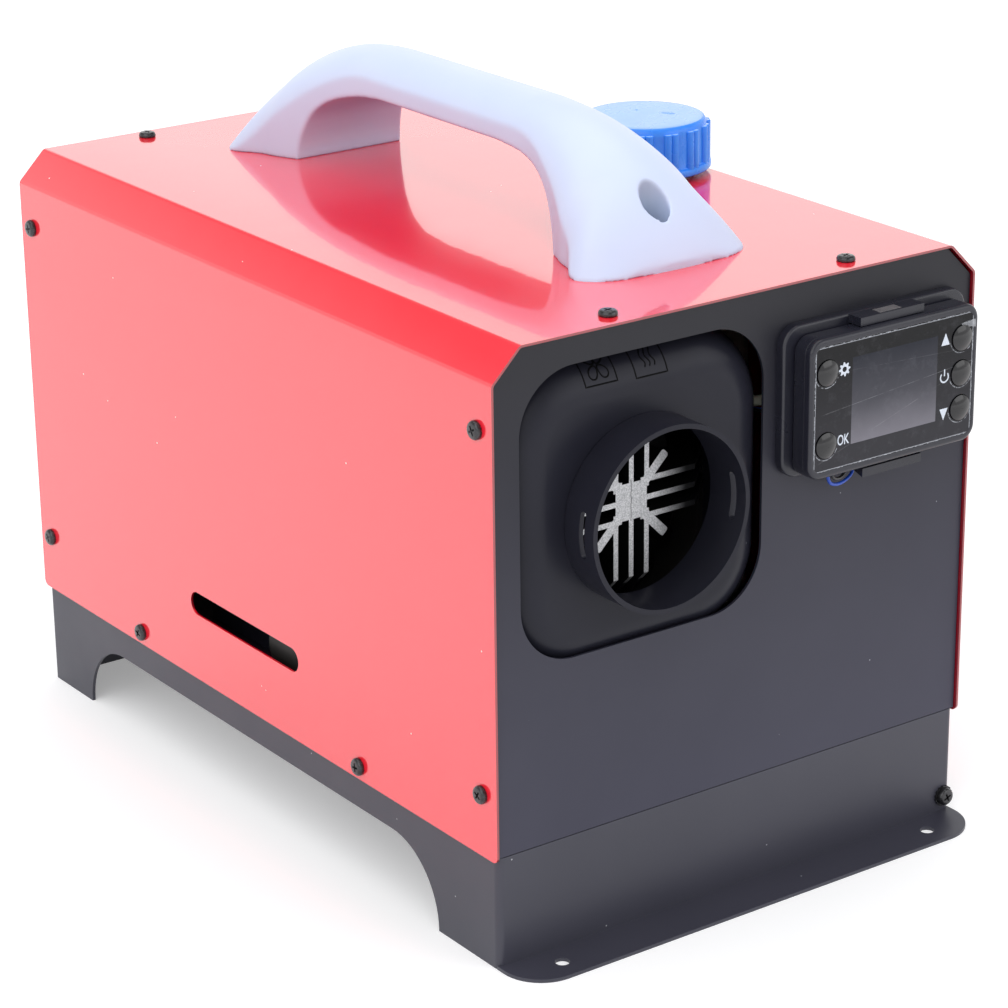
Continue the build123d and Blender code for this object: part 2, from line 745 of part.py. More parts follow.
# Spring clips round the hose ends
clip_thickness = 0.8
clip_width = 5.0
with BuildPart() as hose_clips:
    clip_planes = [
        Plane(origin=(filter_x, front_y + tank_front - nipple_length / 2, fuel_height), z_dir=(0, 1, 0)),
        Plane(origin=(filter_x, front_y + filter_rear + nipple_length / 2, fuel_height), z_dir=(0, 1, 0)),
        Plane(origin=(filter_x, filter_nose - nipple_length / 2, fuel_height), z_dir=(0, 1, 0)),
        Plane(origin=(pump_x, pump_y, pump_foot - nipple_length / 2), z_dir=(0, 0, 1)),
    ]
    for clip_plane in clip_planes:
        with BuildSketch(clip_plane.offset(-clip_width / 2)):
            Circle(fuel_hose_radius + fit_gap + clip_thickness)
            Circle(fuel_hose_radius + fit_gap, mode=Mode.SUBTRACT)
        extrude(amount=clip_width)
hose_clips.part.label = "hose_clips"
export_step(hose_clips.part, "parts/hose_clips.step")

# Fuel pump: a solenoid can with a bore for its plunger
bore_foot = pump_foot + 22.0
bore_length = 34.0
with BuildPart() as fuel_pump:
    with BuildSketch(Plane.XY.offset(pump_foot)):
        with Locations((pump_x, pump_y)):
            Circle(pump_radius - 4)
    extrude(amount=pump_length)
    with BuildSketch(Plane.XY.offset(pump_foot + 12)):
        with Locations((pump_x, pump_y)):
            Circle(pump_radius)
    extrude(amount=pump_length - 20)
    with BuildSketch(Plane.XY.offset(pump_foot - nipple_length)):
        with Locations((pump_x, pump_y)):
            Circle(nipple_radius)
    extrude(amount=nipple_length)
    with BuildSketch(Plane.XY.offset(bore_foot)):
        with Locations((pump_x, pump_y)):
            Circle(pump_bore)
    extrude(amount=bore_length, mode=Mode.SUBTRACT)
    with BuildSketch(Plane.XY.offset(pump_foot - nipple_length)):
        with Locations((pump_x, pump_y)):
            Circle(nipple_radius - nipple_wall)
    extrude(amount=pump_length + nipple_length, mode=Mode.SUBTRACT)
    with BuildSketch(Plane.XY.offset(pump_foot + 34)):
        with Locations((pump_x - pump_radius, pump_y)):
            Rectangle(10, 12)
    extrude(amount=14)
    with BuildSketch(Plane.XY.offset(pump_foot + 34)):
        with Locations((pump_x, pump_y)):
            Circle(pump_bore)
    extrude(amount=14, mode=Mode.SUBTRACT)
fuel_pump.part.label = "fuel_pump"
export_step(fuel_pump.part, "parts/fuel_pump.step")

# Pump plunger and its return spring
plunger_length = 18.0
with BuildPart() as pump_plunger:
    with BuildSketch(Plane.XY.offset(bore_foot + fit_gap)):
        with Locations((pump_x, pump_y)):
            Circle(plunger_radius)
            Circle(nipple_radius - 1.8, mode=Mode.SUBTRACT)
    extrude(amount=plunger_length)
pump_plunger.part.label = "pump_plunger"
export_step(pump_plunger.part, "parts/pump_plunger.step")

spring_wire = 0.45
spring_foot = bore_foot + 2 * fit_gap + plunger_length + spring_wire
spring_top = bore_foot + bore_length - fit_gap - spring_wire
with BuildPart() as pump_spring:
    with BuildLine() as coil:
        Helix(pitch=(spring_top - spring_foot) / 5, height=spring_top - spring_foot, radius=3.6,
              center=(pump_x, pump_y, spring_foot))
    with BuildSketch(Plane(origin=coil.line @ 0, z_dir=coil.line % 0)):
        RegularPolygon(spring_wire, 6)
    sweep(path=coil.line, is_frenet=True)
pump_spring.part.label = "pump_spring"
export_step(pump_spring.part, "parts/pump_spring.step")

# Rubber lined clamp and bracket that carry the pump
clamp_height = 18.0
clamp_foot = pump_foot + 14
clamp_wall = 4.0
bracket_sheet = 2.0
bracket_x = pump_x + pump_radius + fit_gap + clamp_wall
with BuildPart() as pump_mount:
    with BuildSketch(Plane.XY.offset(clamp_foot)):
        with Locations((pump_x, pump_y)):
            Circle(pump_radius + fit_gap + clamp_wall)
        with Locations((bracket_x - 2, pump_y)):
            Rectangle(2 * bracket_sheet, 14)
        with Locations((pump_x, pump_y)):
            Circle(pump_radius + fit_gap, mode=Mode.SUBTRACT)
    extrude(amount=clamp_height)
    with BuildSketch(Plane.XY.offset(base_height)):
        with Locations((bracket_x - 1, pump_y)):
            Rectangle(bracket_sheet, 14)
    extrude(amount=clamp_foot + clamp_height - base_height)
    with BuildSketch(Plane.XY.offset(base_height)):
        with Locations((bracket_x - 9, pump_y)):
            Rectangle(18, 14)
    extrude(amount=bracket_sheet)
pump_mount.part.label = "pump_mount"
export_step(pump_mount.part, "parts/pump_mount.step")

# Thin fuel line from the pump to the burner
line_y = exchanger_end + blower_depth / 4
with BuildPart() as fuel_line:
    with BuildLine() as line_route:
        FilletPolyline(
            (pump_x, pump_y, pump_top),
            (pump_x, pump_y, line_height),
            (line_x, pump_y, line_height),
            (line_x, line_y, line_height),
            (heater_x + blower_half, line_y, line_height),
            radius=[12, 12, 8],
        )
    with BuildSketch(Plane(origin=line_route.line @ 0, z_dir=line_route.line % 0)):
        Circle(line_radius)
        Circle(line_radius - 1, mode=Mode.SUBTRACT)
    sweep(path=line_route.line)
fuel_line.part.label = "fuel_line"
export_step(fuel_line.part, "parts/fuel_line.step")


def heater_square(depth, half, corner):
    """A rounded square round the heater's axis, at this depth behind the front panel's face."""
    with BuildSketch(facing(depth)) as square:
        with Locations((heater_x, heater_z)):
            RectangleRounded(2 * half, 2 * half, corner)
    return square.sketch


def heater_disc(depth, radius, bore=0.0):
    """A disc or ring round the heater's axis, at this depth behind the front panel's face."""
    with BuildSketch(facing(depth)) as disc:
        with Locations((heater_x, heater_z)):
            Circle(radius)
            if bore > 0:
                Circle(bore, mode=Mode.SUBTRACT)
    return disc.sketch


# Outlet hood: a square skirt with a broad round edge, which fills the front opening
with BuildPart() as outlet_hood:
    extrude(heater_square(hood_front, hood_half, hood_corner), amount=-(hood_depth - hood_front))
    fillet(outlet_hood.edges().group_by(Axis.Y)[0], hood_round)
with BuildPart() as hood_space:
    extrude(heater_square(hood_front + hood_wall, hood_half - hood_wall, hood_corner - hood_wall),
            amount=-hood_depth)
    fillet(hood_space.edges().group_by(Axis.Y)[0], hood_round - hood_wall)
with BuildPart() as hollow_hood:
    add(outlet_hood.part)
    add(hood_space.part, mode=Mode.SUBTRACT)
    extrude(heater_disc(0, collar_radius - collar_step + fit_gap),
            amount=-2 * hood_wall, mode=Mode.SUBTRACT)
hollow_hood.part.label = "outlet_hood"
export_step(hollow_hood.part, "parts/outlet_hood.step")

# Outlet collar with its clip windows, pushed into the hood
clip_window_length = 19.0
clip_window_width = 3.2
with BuildPart() as outlet_collar:
    extrude(heater_disc(-collar_reach, collar_radius), amount=-(collar_reach + hood_front - fit_gap))
    extrude(heater_disc(-collar_reach, collar_radius - collar_step), amount=-(collar_reach + collar_root))
    extrude(heater_disc(-collar_reach, collar_radius - collar_wall),
            amount=-(collar_reach + collar_root), mode=Mode.SUBTRACT)
    with BuildSketch(Plane.YZ.offset(heater_x - 2 * collar_radius)):
        with Locations((front_y - collar_reach / 2 - 1.5, heater_z)):
            SlotOverall(clip_window_length, clip_window_width, rotation=90)
    extrude(amount=4 * collar_radius, mode=Mode.SUBTRACT)
outlet_collar.part.label = "outlet_collar"
export_step(outlet_collar.part, "parts/outlet_collar.step")


def casing_half_shell(upper):
    """Half of the casing round the heat exchanger, with its stiffening ribs."""
    length = casing_rear - casing_front
    with BuildPart() as casing:
        extrude(heater_square(casing_front, casing_half, casing_corner), amount=-length)
        for rib in range(3):
            depth = hood_depth + 30 + rib * 80
            extrude(heater_square(depth, casing_half + casing_rib, casing_corner), amount=-casing_rib_width)
        extrude(heater_square(casing_front, casing_half - casing_wall, casing_corner - casing_wall),
                amount=-length, mode=Mode.SUBTRACT)
        keep = Keep.TOP if upper else Keep.BOTTOM
        split(bisect_by=Plane.XY.offset(heater_z), keep=keep)
    return casing


# Casing halves; the lower one is cut out round the cast foot
lower_half = casing_half_shell(False)
with BuildPart() as lower_casing:
    add(lower_half.part)
    with BuildSketch(Plane.XY.offset(casing_bottom - 2)):
        with Locations((heater_x, (foot_front + foot_rear) / 2)):
            Rectangle(2 * (foot_half + fit_gap), foot_rear - foot_front + 2 * fit_gap)
    extrude(amount=casing_wall + 3, mode=Mode.SUBTRACT)
lower_casing.part.label = "lower_casing"
export_step(lower_casing.part, "parts/lower_casing.step")

upper_half = casing_half_shell(True)
with BuildPart() as upper_casing:
    add(upper_half.part)
    with BuildSketch(Plane.YZ.offset(heater_x)):
        with Locations((line_y, line_height)):
            Circle(line_radius + 2 * fit_gap)
        with Locations((exchanger_end + wire_lead, grommet_z)):
            Circle(2.2)
    extrude(amount=2 * casing_half, mode=Mode.SUBTRACT)
upper_casing.part.label = "upper_casing"
export_step(upper_casing.part, "parts/upper_casing.step")

# Inlet hood: square over the casing's rear end, round where it leaves the case
ring_end = box_depth + rear_reach - grille_dome
inlet_back = box_depth - inlet_recess
inlet_front = inlet_back - inlet_square_depth
with BuildPart() as inlet_hood:
    extrude(heater_square(inlet_front, hood_half, hood_corner),
            amount=-(inlet_back - inlet_front))
    chamfer(inlet_hood.faces().sort_by(Axis.Y)[-1].edges(), 4)
    extrude(heater_disc(inlet_back - 1, inlet_ring_radius),
            amount=-(ring_end - inlet_back + 1))
    extrude(heater_square(inlet_front, hood_half - hood_wall, hood_corner - hood_wall),
            amount=-(inlet_back - inlet_front - hood_wall), mode=Mode.SUBTRACT)
    extrude(heater_disc(inlet_front, inlet_ring_radius - inlet_ring_wall),
            amount=-(ring_end - inlet_front), mode=Mode.SUBTRACT)
inlet_hood.part.label = "inlet_hood"
export_step(inlet_hood.part, "parts/inlet_hood.step")

# Intake grille: a low dome of rings and spokes
grille_radius = inlet_ring_radius - inlet_ring_wall - fit_gap
grille_seat = ring_end - 4
bars_radius = grille_radius - grille_rim
ring_radii = [38.0, 28.0, 18.0]
spokes = 8
with BuildPart() as intake_grille:
    with BuildSketch(Plane(origin=(heater_x, front_y + grille_seat, heater_z), x_dir=(1, 0, 0),
                           z_dir=(0, 0, 1))):
        rise = box_depth + rear_reach - grille_seat
        with BuildLine():
            outside = ThreePointArc((-grille_radius, rise - grille_dome), (0, rise),
                                    (grille_radius, rise - grille_dome))
            Line(outside @ 1, (grille_radius, 0))
            Line((grille_radius, 0), (bars_radius, 0))
            ThreePointArc((bars_radius, 0), (0, grille_dome - 1), (-bars_radius, 0))
            Line((-bars_radius, 0), (-grille_radius, 0))
            Line((-grille_radius, 0), outside @ 0)
        make_face()
        split(bisect_by=Plane.YZ)
    revolve(axis=heater_axis)
    for step, ring in enumerate([bars_radius + grille_bar / 2] + ring_radii):
        inner = ring_radii[step] if step < len(ring_radii) else 8.0
        with BuildSketch(facing(grille_seat - 2)):
            with Locations((heater_x, heater_z)):
                Circle(ring - grille_bar / 2)
                Circle(inner + grille_bar / 2, mode=Mode.SUBTRACT)
                with PolarLocations(0, spokes // 2, angular_range=180):
                    Rectangle(3 * grille_radius, grille_bar, mode=Mode.SUBTRACT)
        extrude(amount=-25, mode=Mode.SUBTRACT)
intake_grille.part.label = "intake_grille"
export_step(intake_grille.part, "parts/intake_grille.step")

# Heat exchanger: banks of parallel fins in four quarters round a closed tube, which meet
# in front at a square boss with a cross of four arms
nose = front_y + exchanger_front
core_nose = front_y + core_front
fin_root = core_radius - 3.0
boss_half = 7.5
arm_reach = 23.5
arm_width = 3.9
outer_fin_delay = 34.0   # the outer fins start this far behind the middle three
fin_rear = exchanger_end - 12.0
web_reach = 54.0
web_width = 3.6
fin_nip = 6.0            # slope on the outer fins' front corners
with BuildPart() as fin_bank:
    for place in range(-fin_count_each_way, fin_count_each_way + 1):
        middle = abs(place) <= 1
        root = heater_z + max(fin_root - 4, abs(place) * fin_pitch - 1)
        tip = heater_z + fin_reach
        with BuildSketch(Plane.YZ.offset(heater_x + place * fin_pitch - fin_thickness / 2)):
            with BuildLine():
                if middle:
                    Polyline((nose, heater_z + boss_half - 3), (nose, heater_z + fin_front_reach),
                             (nose + fin_reach - fin_front_reach, tip), (fin_rear, tip),
                             (fin_rear, root), (core_nose + 4, root),
                             (core_nose + 4, heater_z + boss_half - 3), close=True)
                else:
                    start = nose + outer_fin_delay
                    Polyline((start, root), (start, tip - fin_nip), (start + fin_nip, tip),
                             (fin_rear, tip), (fin_rear, root), close=True)
            make_face()
        extrude(amount=fin_thickness)
with BuildPart() as heat_exchanger:
    extrude(heater_disc(core_front, core_radius), amount=-(exchanger_rear - core_front))
    for quarter in range(4):
        add(fin_bank.part.rotate(heater_axis, 90 * quarter))
    with BuildSketch(facing(exchanger_front + outer_fin_delay)):
        with Locations((heater_x, heater_z)):
            for turn in (45, 135):
                Rectangle(2 * web_reach, web_width, rotation=turn)
    extrude(amount=-(exchanger_rear - 12 - exchanger_front - outer_fin_delay))
    with BuildSketch(facing(exchanger_front)) as cross:
        with Locations((heater_x, heater_z)):
            RectangleRounded(2 * boss_half, 2 * boss_half, 3)
            for turn in (45, 135):
                RectangleRounded(2 * arm_reach, arm_width, 1.1, rotation=turn)
    extrude(amount=-(core_front - exchanger_front + 2))
    with BuildSketch(Plane.XY.offset(foot_plane)):
        with Locations((heater_x, (foot_front + exchanger_end) / 2)):
            Rectangle(2 * foot_half, exchanger_end - foot_front)
    extrude(amount=heater_z - core_radius - foot_plane + 4)
    extrude(heater_disc(exchanger_rear - 6, blower_half - 4), amount=-6)
    extrude(heater_disc(core_front + core_wall + 1, core_radius - core_wall),
            amount=-(exchanger_rear - core_front), mode=Mode.SUBTRACT)
    with BuildSketch(Plane.XY.offset(foot_plane)):
        with Locations((heater_x, exhaust_y)):
            Circle(exhaust_radius + fit_gap)
    extrude(amount=heater_z - 20 - foot_plane, mode=Mode.SUBTRACT)
    plug_y = exhaust_y
    with BuildSketch(Plane.XY.offset(heater_z + core_radius)):
        with Locations((heater_x, plug_y)):
            Circle(10.5)
    extrude(amount=fin_reach, mode=Mode.SUBTRACT)
    with BuildSketch(Plane.XY.offset(heater_z)):
        with Locations((heater_x, plug_y)):
            Circle(5 + fit_gap)
    extrude(amount=fin_reach, mode=Mode.SUBTRACT)
    with BuildSketch(Plane.XY.offset(foot_plane)):
        with Locations((heater_x, stud_rows[0])):
            with GridLocations(stud_spacing_x, 1, 2, 1):
                Circle(stud_radius + running_gap)
    extrude(amount=12, mode=Mode.SUBTRACT)
heat_exchanger.part.label = "heat_exchanger"
export_step(heat_exchanger.part, "parts/heat_exchanger.step")

# Burner tube inside the exchanger, with a flange at its rear and rows of air holes
burner_front = 130.0
burner_radius = 27.0
with BuildPart() as burner_tube:
    extrude(heater_disc(burner_front, burner_radius, burner_radius - 2),
            amount=-(exchanger_rear - burner_front))
    extrude(heater_disc(exchanger_rear - 5, core_radius - core_wall - fit_gap, burner_radius - 2),
            amount=-5)
    with BuildSketch(Plane.XY.offset(heater_z)):
        with Locations((heater_x, plug_y)):
            Circle(4)
    extrude(amount=burner_radius + 5, mode=Mode.SUBTRACT)
    for row in range(2):
        for turn in range(4):
            hole_plane = Plane(origin=(heater_x, front_y + 150 + row * 24, heater_z),
                               z_dir=(cos(radians(45 * turn + 22)), 0, sin(radians(45 * turn + 22))))
            with BuildSketch(hole_plane):
                Circle(2.2)
            extrude(amount=burner_radius + 5, both=True, mode=Mode.SUBTRACT)
burner_tube.part.label = "burner_tube"
export_step(burner_tube.part, "parts/burner_tube.step")

# Glow plug
plug_seat = heater_z + core_radius
with BuildPart() as glow_plug:
    with BuildSketch(Plane.XY.offset(plug_seat)):
        with Locations((heater_x, plug_y)):
            RegularPolygon(8, 6)
    extrude(amount=6)
    with BuildSketch(Plane.XY.offset(plug_seat - core_wall - 2)):
        with Locations((heater_x, plug_y)):
            Circle(5)
    extrude(amount=core_wall + 2)
    with BuildSketch(Plane.XY.offset(heater_z + burner_radius - 12)):
        with Locations((heater_x, plug_y)):
            Circle(2.5)
    extrude(amount=core_radius - burner_radius + 12)
    with BuildSketch(Plane.XY.offset(plug_seat + 6)):
        with Locations((heater_x, plug_y)):
            Circle(2)
    extrude(amount=8)
glow_plug.part.label = "glow_plug"
export_step(glow_plug.part, "parts/glow_plug.step")

# Overheat sensor clipped on the fins
sensor_y = exchanger_end - 102
with BuildPart() as overheat_sensor:
    with BuildSketch(Plane.XY.offset(heater_z + fin_reach)):
        with Locations((heater_x, sensor_y)):
            RectangleRounded(18, 14, 2)
    extrude(amount=2.5)
    with BuildSketch(Plane.XY.offset(heater_z + fin_reach + 2.5)):
        with Locations((heater_x, sensor_y)):
            Circle(5)
    extrude(amount=2)
overheat_sensor.part.label = "overheat_sensor"
export_step(overheat_sensor.part, "parts/overheat_sensor.step")

# Blower housing: cast body with the combustion fan's chamber, foot and intake nipple
chamber_front = exchanger_rear + 8
with BuildPart() as blower_housing:
    extrude(heater_square(exchanger_rear, blower_half, blower_corner), amount=-blower_depth)
    with BuildSketch(Plane.XY.offset(foot_plane)):
        with Locations((heater_x, (exchanger_end + foot_rear) / 2)):
            Rectangle(2 * foot_half, foot_rear - exchanger_end)
    extrude(amount=heater_z - blower_half - foot_plane + 2)
    with BuildSketch(Plane.XY.offset(foot_plane)):
        with Locations((intake_x, intake_y)):
            Circle(intake_nipple_radius)
    extrude(amount=-intake_nipple_length)
    extrude(heater_disc(chamber_front, chamber_radius), amount=-blower_depth, mode=Mode.SUBTRACT)
    extrude(heater_disc(exchanger_rear, 14), amount=-blower_depth, mode=Mode.SUBTRACT)
    with BuildSketch(Plane.XY.offset(foot_plane - intake_nipple_length)):
        with Locations((intake_x, intake_y)):
            Circle(intake_nipple_radius - 1.5)
    extrude(amount=heater_z - 30 - foot_plane + intake_nipple_length, mode=Mode.SUBTRACT)
    with BuildSketch(Plane.XY.offset(foot_plane)):
        with Locations((heater_x, stud_rows[1])):
            with GridLocations(stud_spacing_x, 1, 2, 1):
                Circle(stud_radius + running_gap)
    extrude(amount=12, mode=Mode.SUBTRACT)
blower_housing.part.label = "blower_housing"
export_step(blower_housing.part, "parts/blower_housing.step")

# Motor can with its flange and both bush bores
with BuildPart() as fan_motor:
    extrude(heater_disc(motor_front, chamber_radius + 5), amount=-motor_flange)
    extrude(heater_disc(motor_front + motor_flange, motor_radius), amount=-motor_length)
    extrude(heater_disc(motor_front + motor_flange, motor_radius - 2),
            amount=-(motor_length - 3), mode=Mode.SUBTRACT)
    extrude(heater_disc(motor_front - 1, shaft_radius + running_gap),
            amount=-(motor_length + motor_flange + 2), mode=Mode.SUBTRACT)
fan_motor.part.label = "fan_motor"
export_step(fan_motor.part, "parts/fan_motor.step")

# Two magnet arcs inside the can
armature_radius = 16.5
with BuildPart() as motor_magnets:
    extrude(heater_disc(motor_front + motor_flange + 3, motor_radius - 2, armature_radius + 1.5),
            amount=-(motor_length - 10))
    with BuildSketch(facing(motor_front)):
        with Locations((heater_x, heater_z)):
            Rectangle(12, 3 * motor_radius)
    extrude(amount=-2 * motor_length, mode=Mode.SUBTRACT)
motor_magnets.part.label = "motor_magnets"
export_step(motor_magnets.part, "parts/motor_magnets.step")

# Armature with its winding slots
with BuildPart() as motor_armature:
    with BuildSketch(facing(motor_front + motor_flange + 5)):
        with Locations((heater_x, heater_z)):
            Circle(armature_radius)
            Circle(shaft_radius + running_gap, mode=Mode.SUBTRACT)
            with PolarLocations(armature_radius - 2, 6):
                Rectangle(8, 3, mode=Mode.SUBTRACT)
    extrude(amount=-(motor_length - 14))
motor_armature.part.label = "motor_armature"
export_step(motor_armature.part, "parts/motor_armature.step")

# Motor shaft through both fan wheels
impeller_front = chamber_front + 4
with BuildPart() as motor_shaft:
    extrude(heater_disc(impeller_front - 1, shaft_radius),
            amount=-(fan_front + fan_length - impeller_front + 2))
motor_shaft.part.label = "motor_shaft"
export_step(motor_shaft.part, "parts/motor_shaft.step")

# Combustion fan: a disc with straight radial blades
impeller_depth = 20.0
with BuildPart() as combustion_fan:
    extrude(heater_disc(impeller_front, impeller_radius), amount=-2)
    extrude(heater_disc(impeller_front, 8), amount=-impeller_depth)
    with BuildSketch(facing(impeller_front + 1)):
        with Locations((heater_x, heater_z)):
            with PolarLocations((impeller_radius + 14) / 2, impeller_blades):
                Rectangle(impeller_radius - 14, 1.6)
    extrude(amount=-(impeller_depth - 4))
    extrude(heater_disc(impeller_front, shaft_radius + running_gap),
            amount=-impeller_depth, mode=Mode.SUBTRACT)
combustion_fan.part.label = "combustion_fan"
export_step(combustion_fan.part, "parts/combustion_fan.step")

# Hot air fan: twisted blades on a hub
blade_thickness = 1.8
with BuildPart() as hot_air_fan:
    extrude(heater_disc(fan_front, fan_hub_radius), amount=-fan_length)
    fillet(hot_air_fan.edges().group_by(Axis.Y)[-1], 5)
    for blade in range(fan_blades):
        angle = radians(360 / fan_blades * blade)
        outward = Vector(cos(angle), 0, sin(angle))
        middle_point = Vector(heater_x, front_y + fan_front + fan_length / 2, heater_z)
        for radius, chord, pitch in ((fan_hub_radius - 3, 18, 55), (fan_tip_radius, 25, 28)):
            section = Plane(origin=middle_point + outward * radius, x_dir=(0, 1, 0), z_dir=outward)
            with BuildSketch(section):
                Rectangle(chord, blade_thickness, rotation=90 - pitch)
        loft()
    extrude(heater_disc(fan_front, shaft_radius + running_gap), amount=-fan_length, mode=Mode.SUBTRACT)
hot_air_fan.part.label = "hot_air_fan"
export_step(hot_air_fan.part, "parts/hot_air_fan.step")

# Control board on top of the blower housing
board_sheet = 1.6
board_width = 52.0
board_length = 72.0
board_lead = 40.0        # its middle, behind the exchanger
with BuildPart() as control_board:
    with BuildSketch(Plane.XY.offset(heater_z + blower_half)):
        with Locations((heater_x, exchanger_end + board_lead)):
            Rectangle(board_width, board_length)
    extrude(amount=board_sheet)
    for across, along, width, length, height in ((-14, 20, 12, 12, 5), (10, 24, 16, 10, 4), (0, 56, 40, 8, 5)):
        with BuildSketch(Plane.XY.offset(heater_z + blower_half + board_sheet)):
            with Locations((heater_x + across, exchanger_end + along)):
                Rectangle(width, length)
        extrude(amount=height)
control_board.part.label = "control_board"
export_step(control_board.part, "parts/control_board.step")

# Mounting gasket, stand, and studs with their nuts under the cast foot


def foot_holes(mode):
    """Stud, exhaust and intake holes through a plate under the foot."""
    for row in stud_rows:
        with Locations((heater_x, row)):
            with GridLocations(stud_spacing_x, 1, 2, 1):
                Circle(stud_radius + fit_gap, mode=mode)
    with Locations((heater_x, exhaust_y)):
        Circle(exhaust_radius + fit_gap, mode=mode)
    with Locations((intake_x, intake_y)):
        Circle(intake_nipple_radius + fit_gap, mode=mode)


with BuildPart() as mounting_gasket:
    with BuildSketch(Plane.XY.offset(stand_top)):
        with Locations((heater_x, foot_middle)):
            RectangleRounded(2 * foot_half, foot_rear - foot_front, 5)
        foot_holes(Mode.SUBTRACT)
    extrude(amount=gasket_thickness)
mounting_gasket.part.label = "mounting_gasket"
export_step(mounting_gasket.part, "parts/mounting_gasket.step")

with BuildPart() as heater_stand:
    with BuildSketch(Plane.XZ.offset(-(foot_front - 4))) as stand_section:
        with BuildLine():
            out = foot_half + 1
            Polyline(
                (heater_x - out - stand_flange, base_height),
                (heater_x - out - stand_flange, base_height + stand_sheet),
                (heater_x - out, base_height + stand_sheet),
                (heater_x - out, stand_top),
                (heater_x + out, stand_top),
                (heater_x + out, base_height + stand_sheet),
                (heater_x + out + stand_flange, base_height + stand_sheet),
                (heater_x + out + stand_flange, base_height),
                (heater_x + out - stand_sheet, base_height),
                (heater_x + out - stand_sheet, stand_top - stand_sheet),
                (heater_x - out + stand_sheet, stand_top - stand_sheet),
                (heater_x - out + stand_sheet, base_height),
                close=True,
            )
        make_face()
    extrude(amount=-(foot_rear - foot_front + 8))
    with BuildSketch(Plane.XY.offset(stand_top)):
        foot_holes(Mode.ADD)
    extrude(amount=-2 * stand_sheet, mode=Mode.SUBTRACT)
    with BuildSketch(Plane.YZ.offset(heater_x - out - 1)):
        with Locations((foot_middle, (base_height + stand_top) / 2)):
            RectangleRounded(foot_rear - foot_front - 14, stand_top - base_height - 22, 8)
    extrude(amount=2 * out + 2, mode=Mode.SUBTRACT)
heater_stand.part.label = "heater_stand"
export_step(heater_stand.part, "parts/heater_stand.step")

stud_length = 24.0
with BuildPart() as mounting_studs:
    for row in stud_rows:
        with BuildSketch(Plane.XY.offset(foot_plane + 11)):
            with Locations((heater_x, row)):
                with GridLocations(stud_spacing_x, 1, 2, 1):
                    Circle(stud_radius)
        extrude(amount=-stud_length)
    for row in stud_rows:
        with BuildSketch(Plane.XY.offset(stand_top - stand_sheet)):
            with Locations((heater_x, row)):
                with GridLocations(stud_spacing_x, 1, 2, 1):
                    RegularPolygon(5.7, 6)
                    Circle(stud_radius + running_gap, mode=Mode.SUBTRACT)
        extrude(amount=-5)
mounting_studs.part.label = "mounting_studs"
export_step(mounting_studs.part, "parts/mounting_studs.step")

# Exhaust stub down through the deck
with BuildPart() as exhaust_stub:
    with BuildSketch(Plane.XY.offset(exhaust_foot)):
        with Locations((heater_x, exhaust_y)):
            Circle(exhaust_radius)
    extrude(amount=exhaust_grip)
    with BuildSketch(Plane.XY.offset(exhaust_foot)):
        with Locations((heater_x, exhaust_y)):
            Circle(exhaust_radius - exhaust_swage)
    extrude(amount=foot_plane + 6 - exhaust_foot)
    with BuildSketch(Plane.XY.offset(exhaust_foot)):
        with Locations((heater_x, exhaust_y)):
            Circle(exhaust_radius - exhaust_wall)
    extrude(amount=exhaust_grip - exhaust_wall, mode=Mode.SUBTRACT)
    with BuildSketch(Plane.XY.offset(exhaust_foot)):
        with Locations((heater_x, exhaust_y)):
            Circle(exhaust_radius - exhaust_swage - exhaust_wall)
    extrude(amount=foot_plane + 6 - exhaust_foot, mode=Mode.SUBTRACT)
exhaust_stub.part.label = "exhaust_stub"
export_step(exhaust_stub.part, "parts/exhaust_stub.step")

# Intake silencer on the deck, behind the slot in the shell's side
with BuildPart() as intake_silencer:
    with BuildSketch(facing(silencer_front)):
        with Locations((silencer_x, silencer_z)):
            Circle(silencer_radius)
    extrude(amount=-silencer_length)
    fillet(intake_silencer.edges().filter_by(GeomType.CIRCLE), 4)
    with BuildSketch(facing(silencer_front - 12)):
        with Locations((silencer_x, silencer_z)):
            Circle(intake_nipple_radius)
    extrude(amount=-(silencer_length + 24))
    with BuildSketch(Plane.XY.offset(base_height)):
        with Locations((silencer_x, front_y + (silencer_front + silencer_rear) / 2)):
            Rectangle(silencer_clip_width, 40)
    extrude(amount=silencer_z - silencer_radius - base_height + 3)
    with BuildSketch(facing(silencer_front - 12)):
        with Locations((silencer_x, silencer_z)):
            Circle(intake_nipple_radius - 1.5)
    extrude(amount=-(silencer_length + 24), mode=Mode.SUBTRACT)
intake_silencer.part.label = "intake_silencer"
export_step(intake_silencer.part, "parts/intake_silencer.step")

# Intake hose from the silencer up to the blower housing
hose_top = stand_top - stand_sheet - 2
with BuildPart() as intake_hose:
    with BuildLine() as hose_route:
        FilletPolyline(
            (intake_x, intake_y, hose_top),
            (intake_x, intake_y, silencer_z),
            (silencer_x, intake_y, silencer_z),
            (silencer_x, front_y + silencer_rear + fit_gap, silencer_z),
            radius=hose_bend,
        )
    with BuildSketch(Plane(origin=hose_route.line @ 0, z_dir=hose_route.line % 0)):
        Circle(intake_nipple_radius + fit_gap + hose_wall)
        Circle(intake_nipple_radius + fit_gap, mode=Mode.SUBTRACT)
    sweep(path=hose_route.line)
intake_hose.part.label = "intake_hose"
export_step(intake_hose.part, "parts/intake_hose.step")


def control_plate(depth, width, height, corner):
    """A rounded plate of the controller, at this depth ahead of the front panel's face."""
    with BuildSketch(facing(-depth)) as plate:
        with Locations((control_x, control_z)):
            RectangleRounded(width, height, corner)
    return plate.sketch


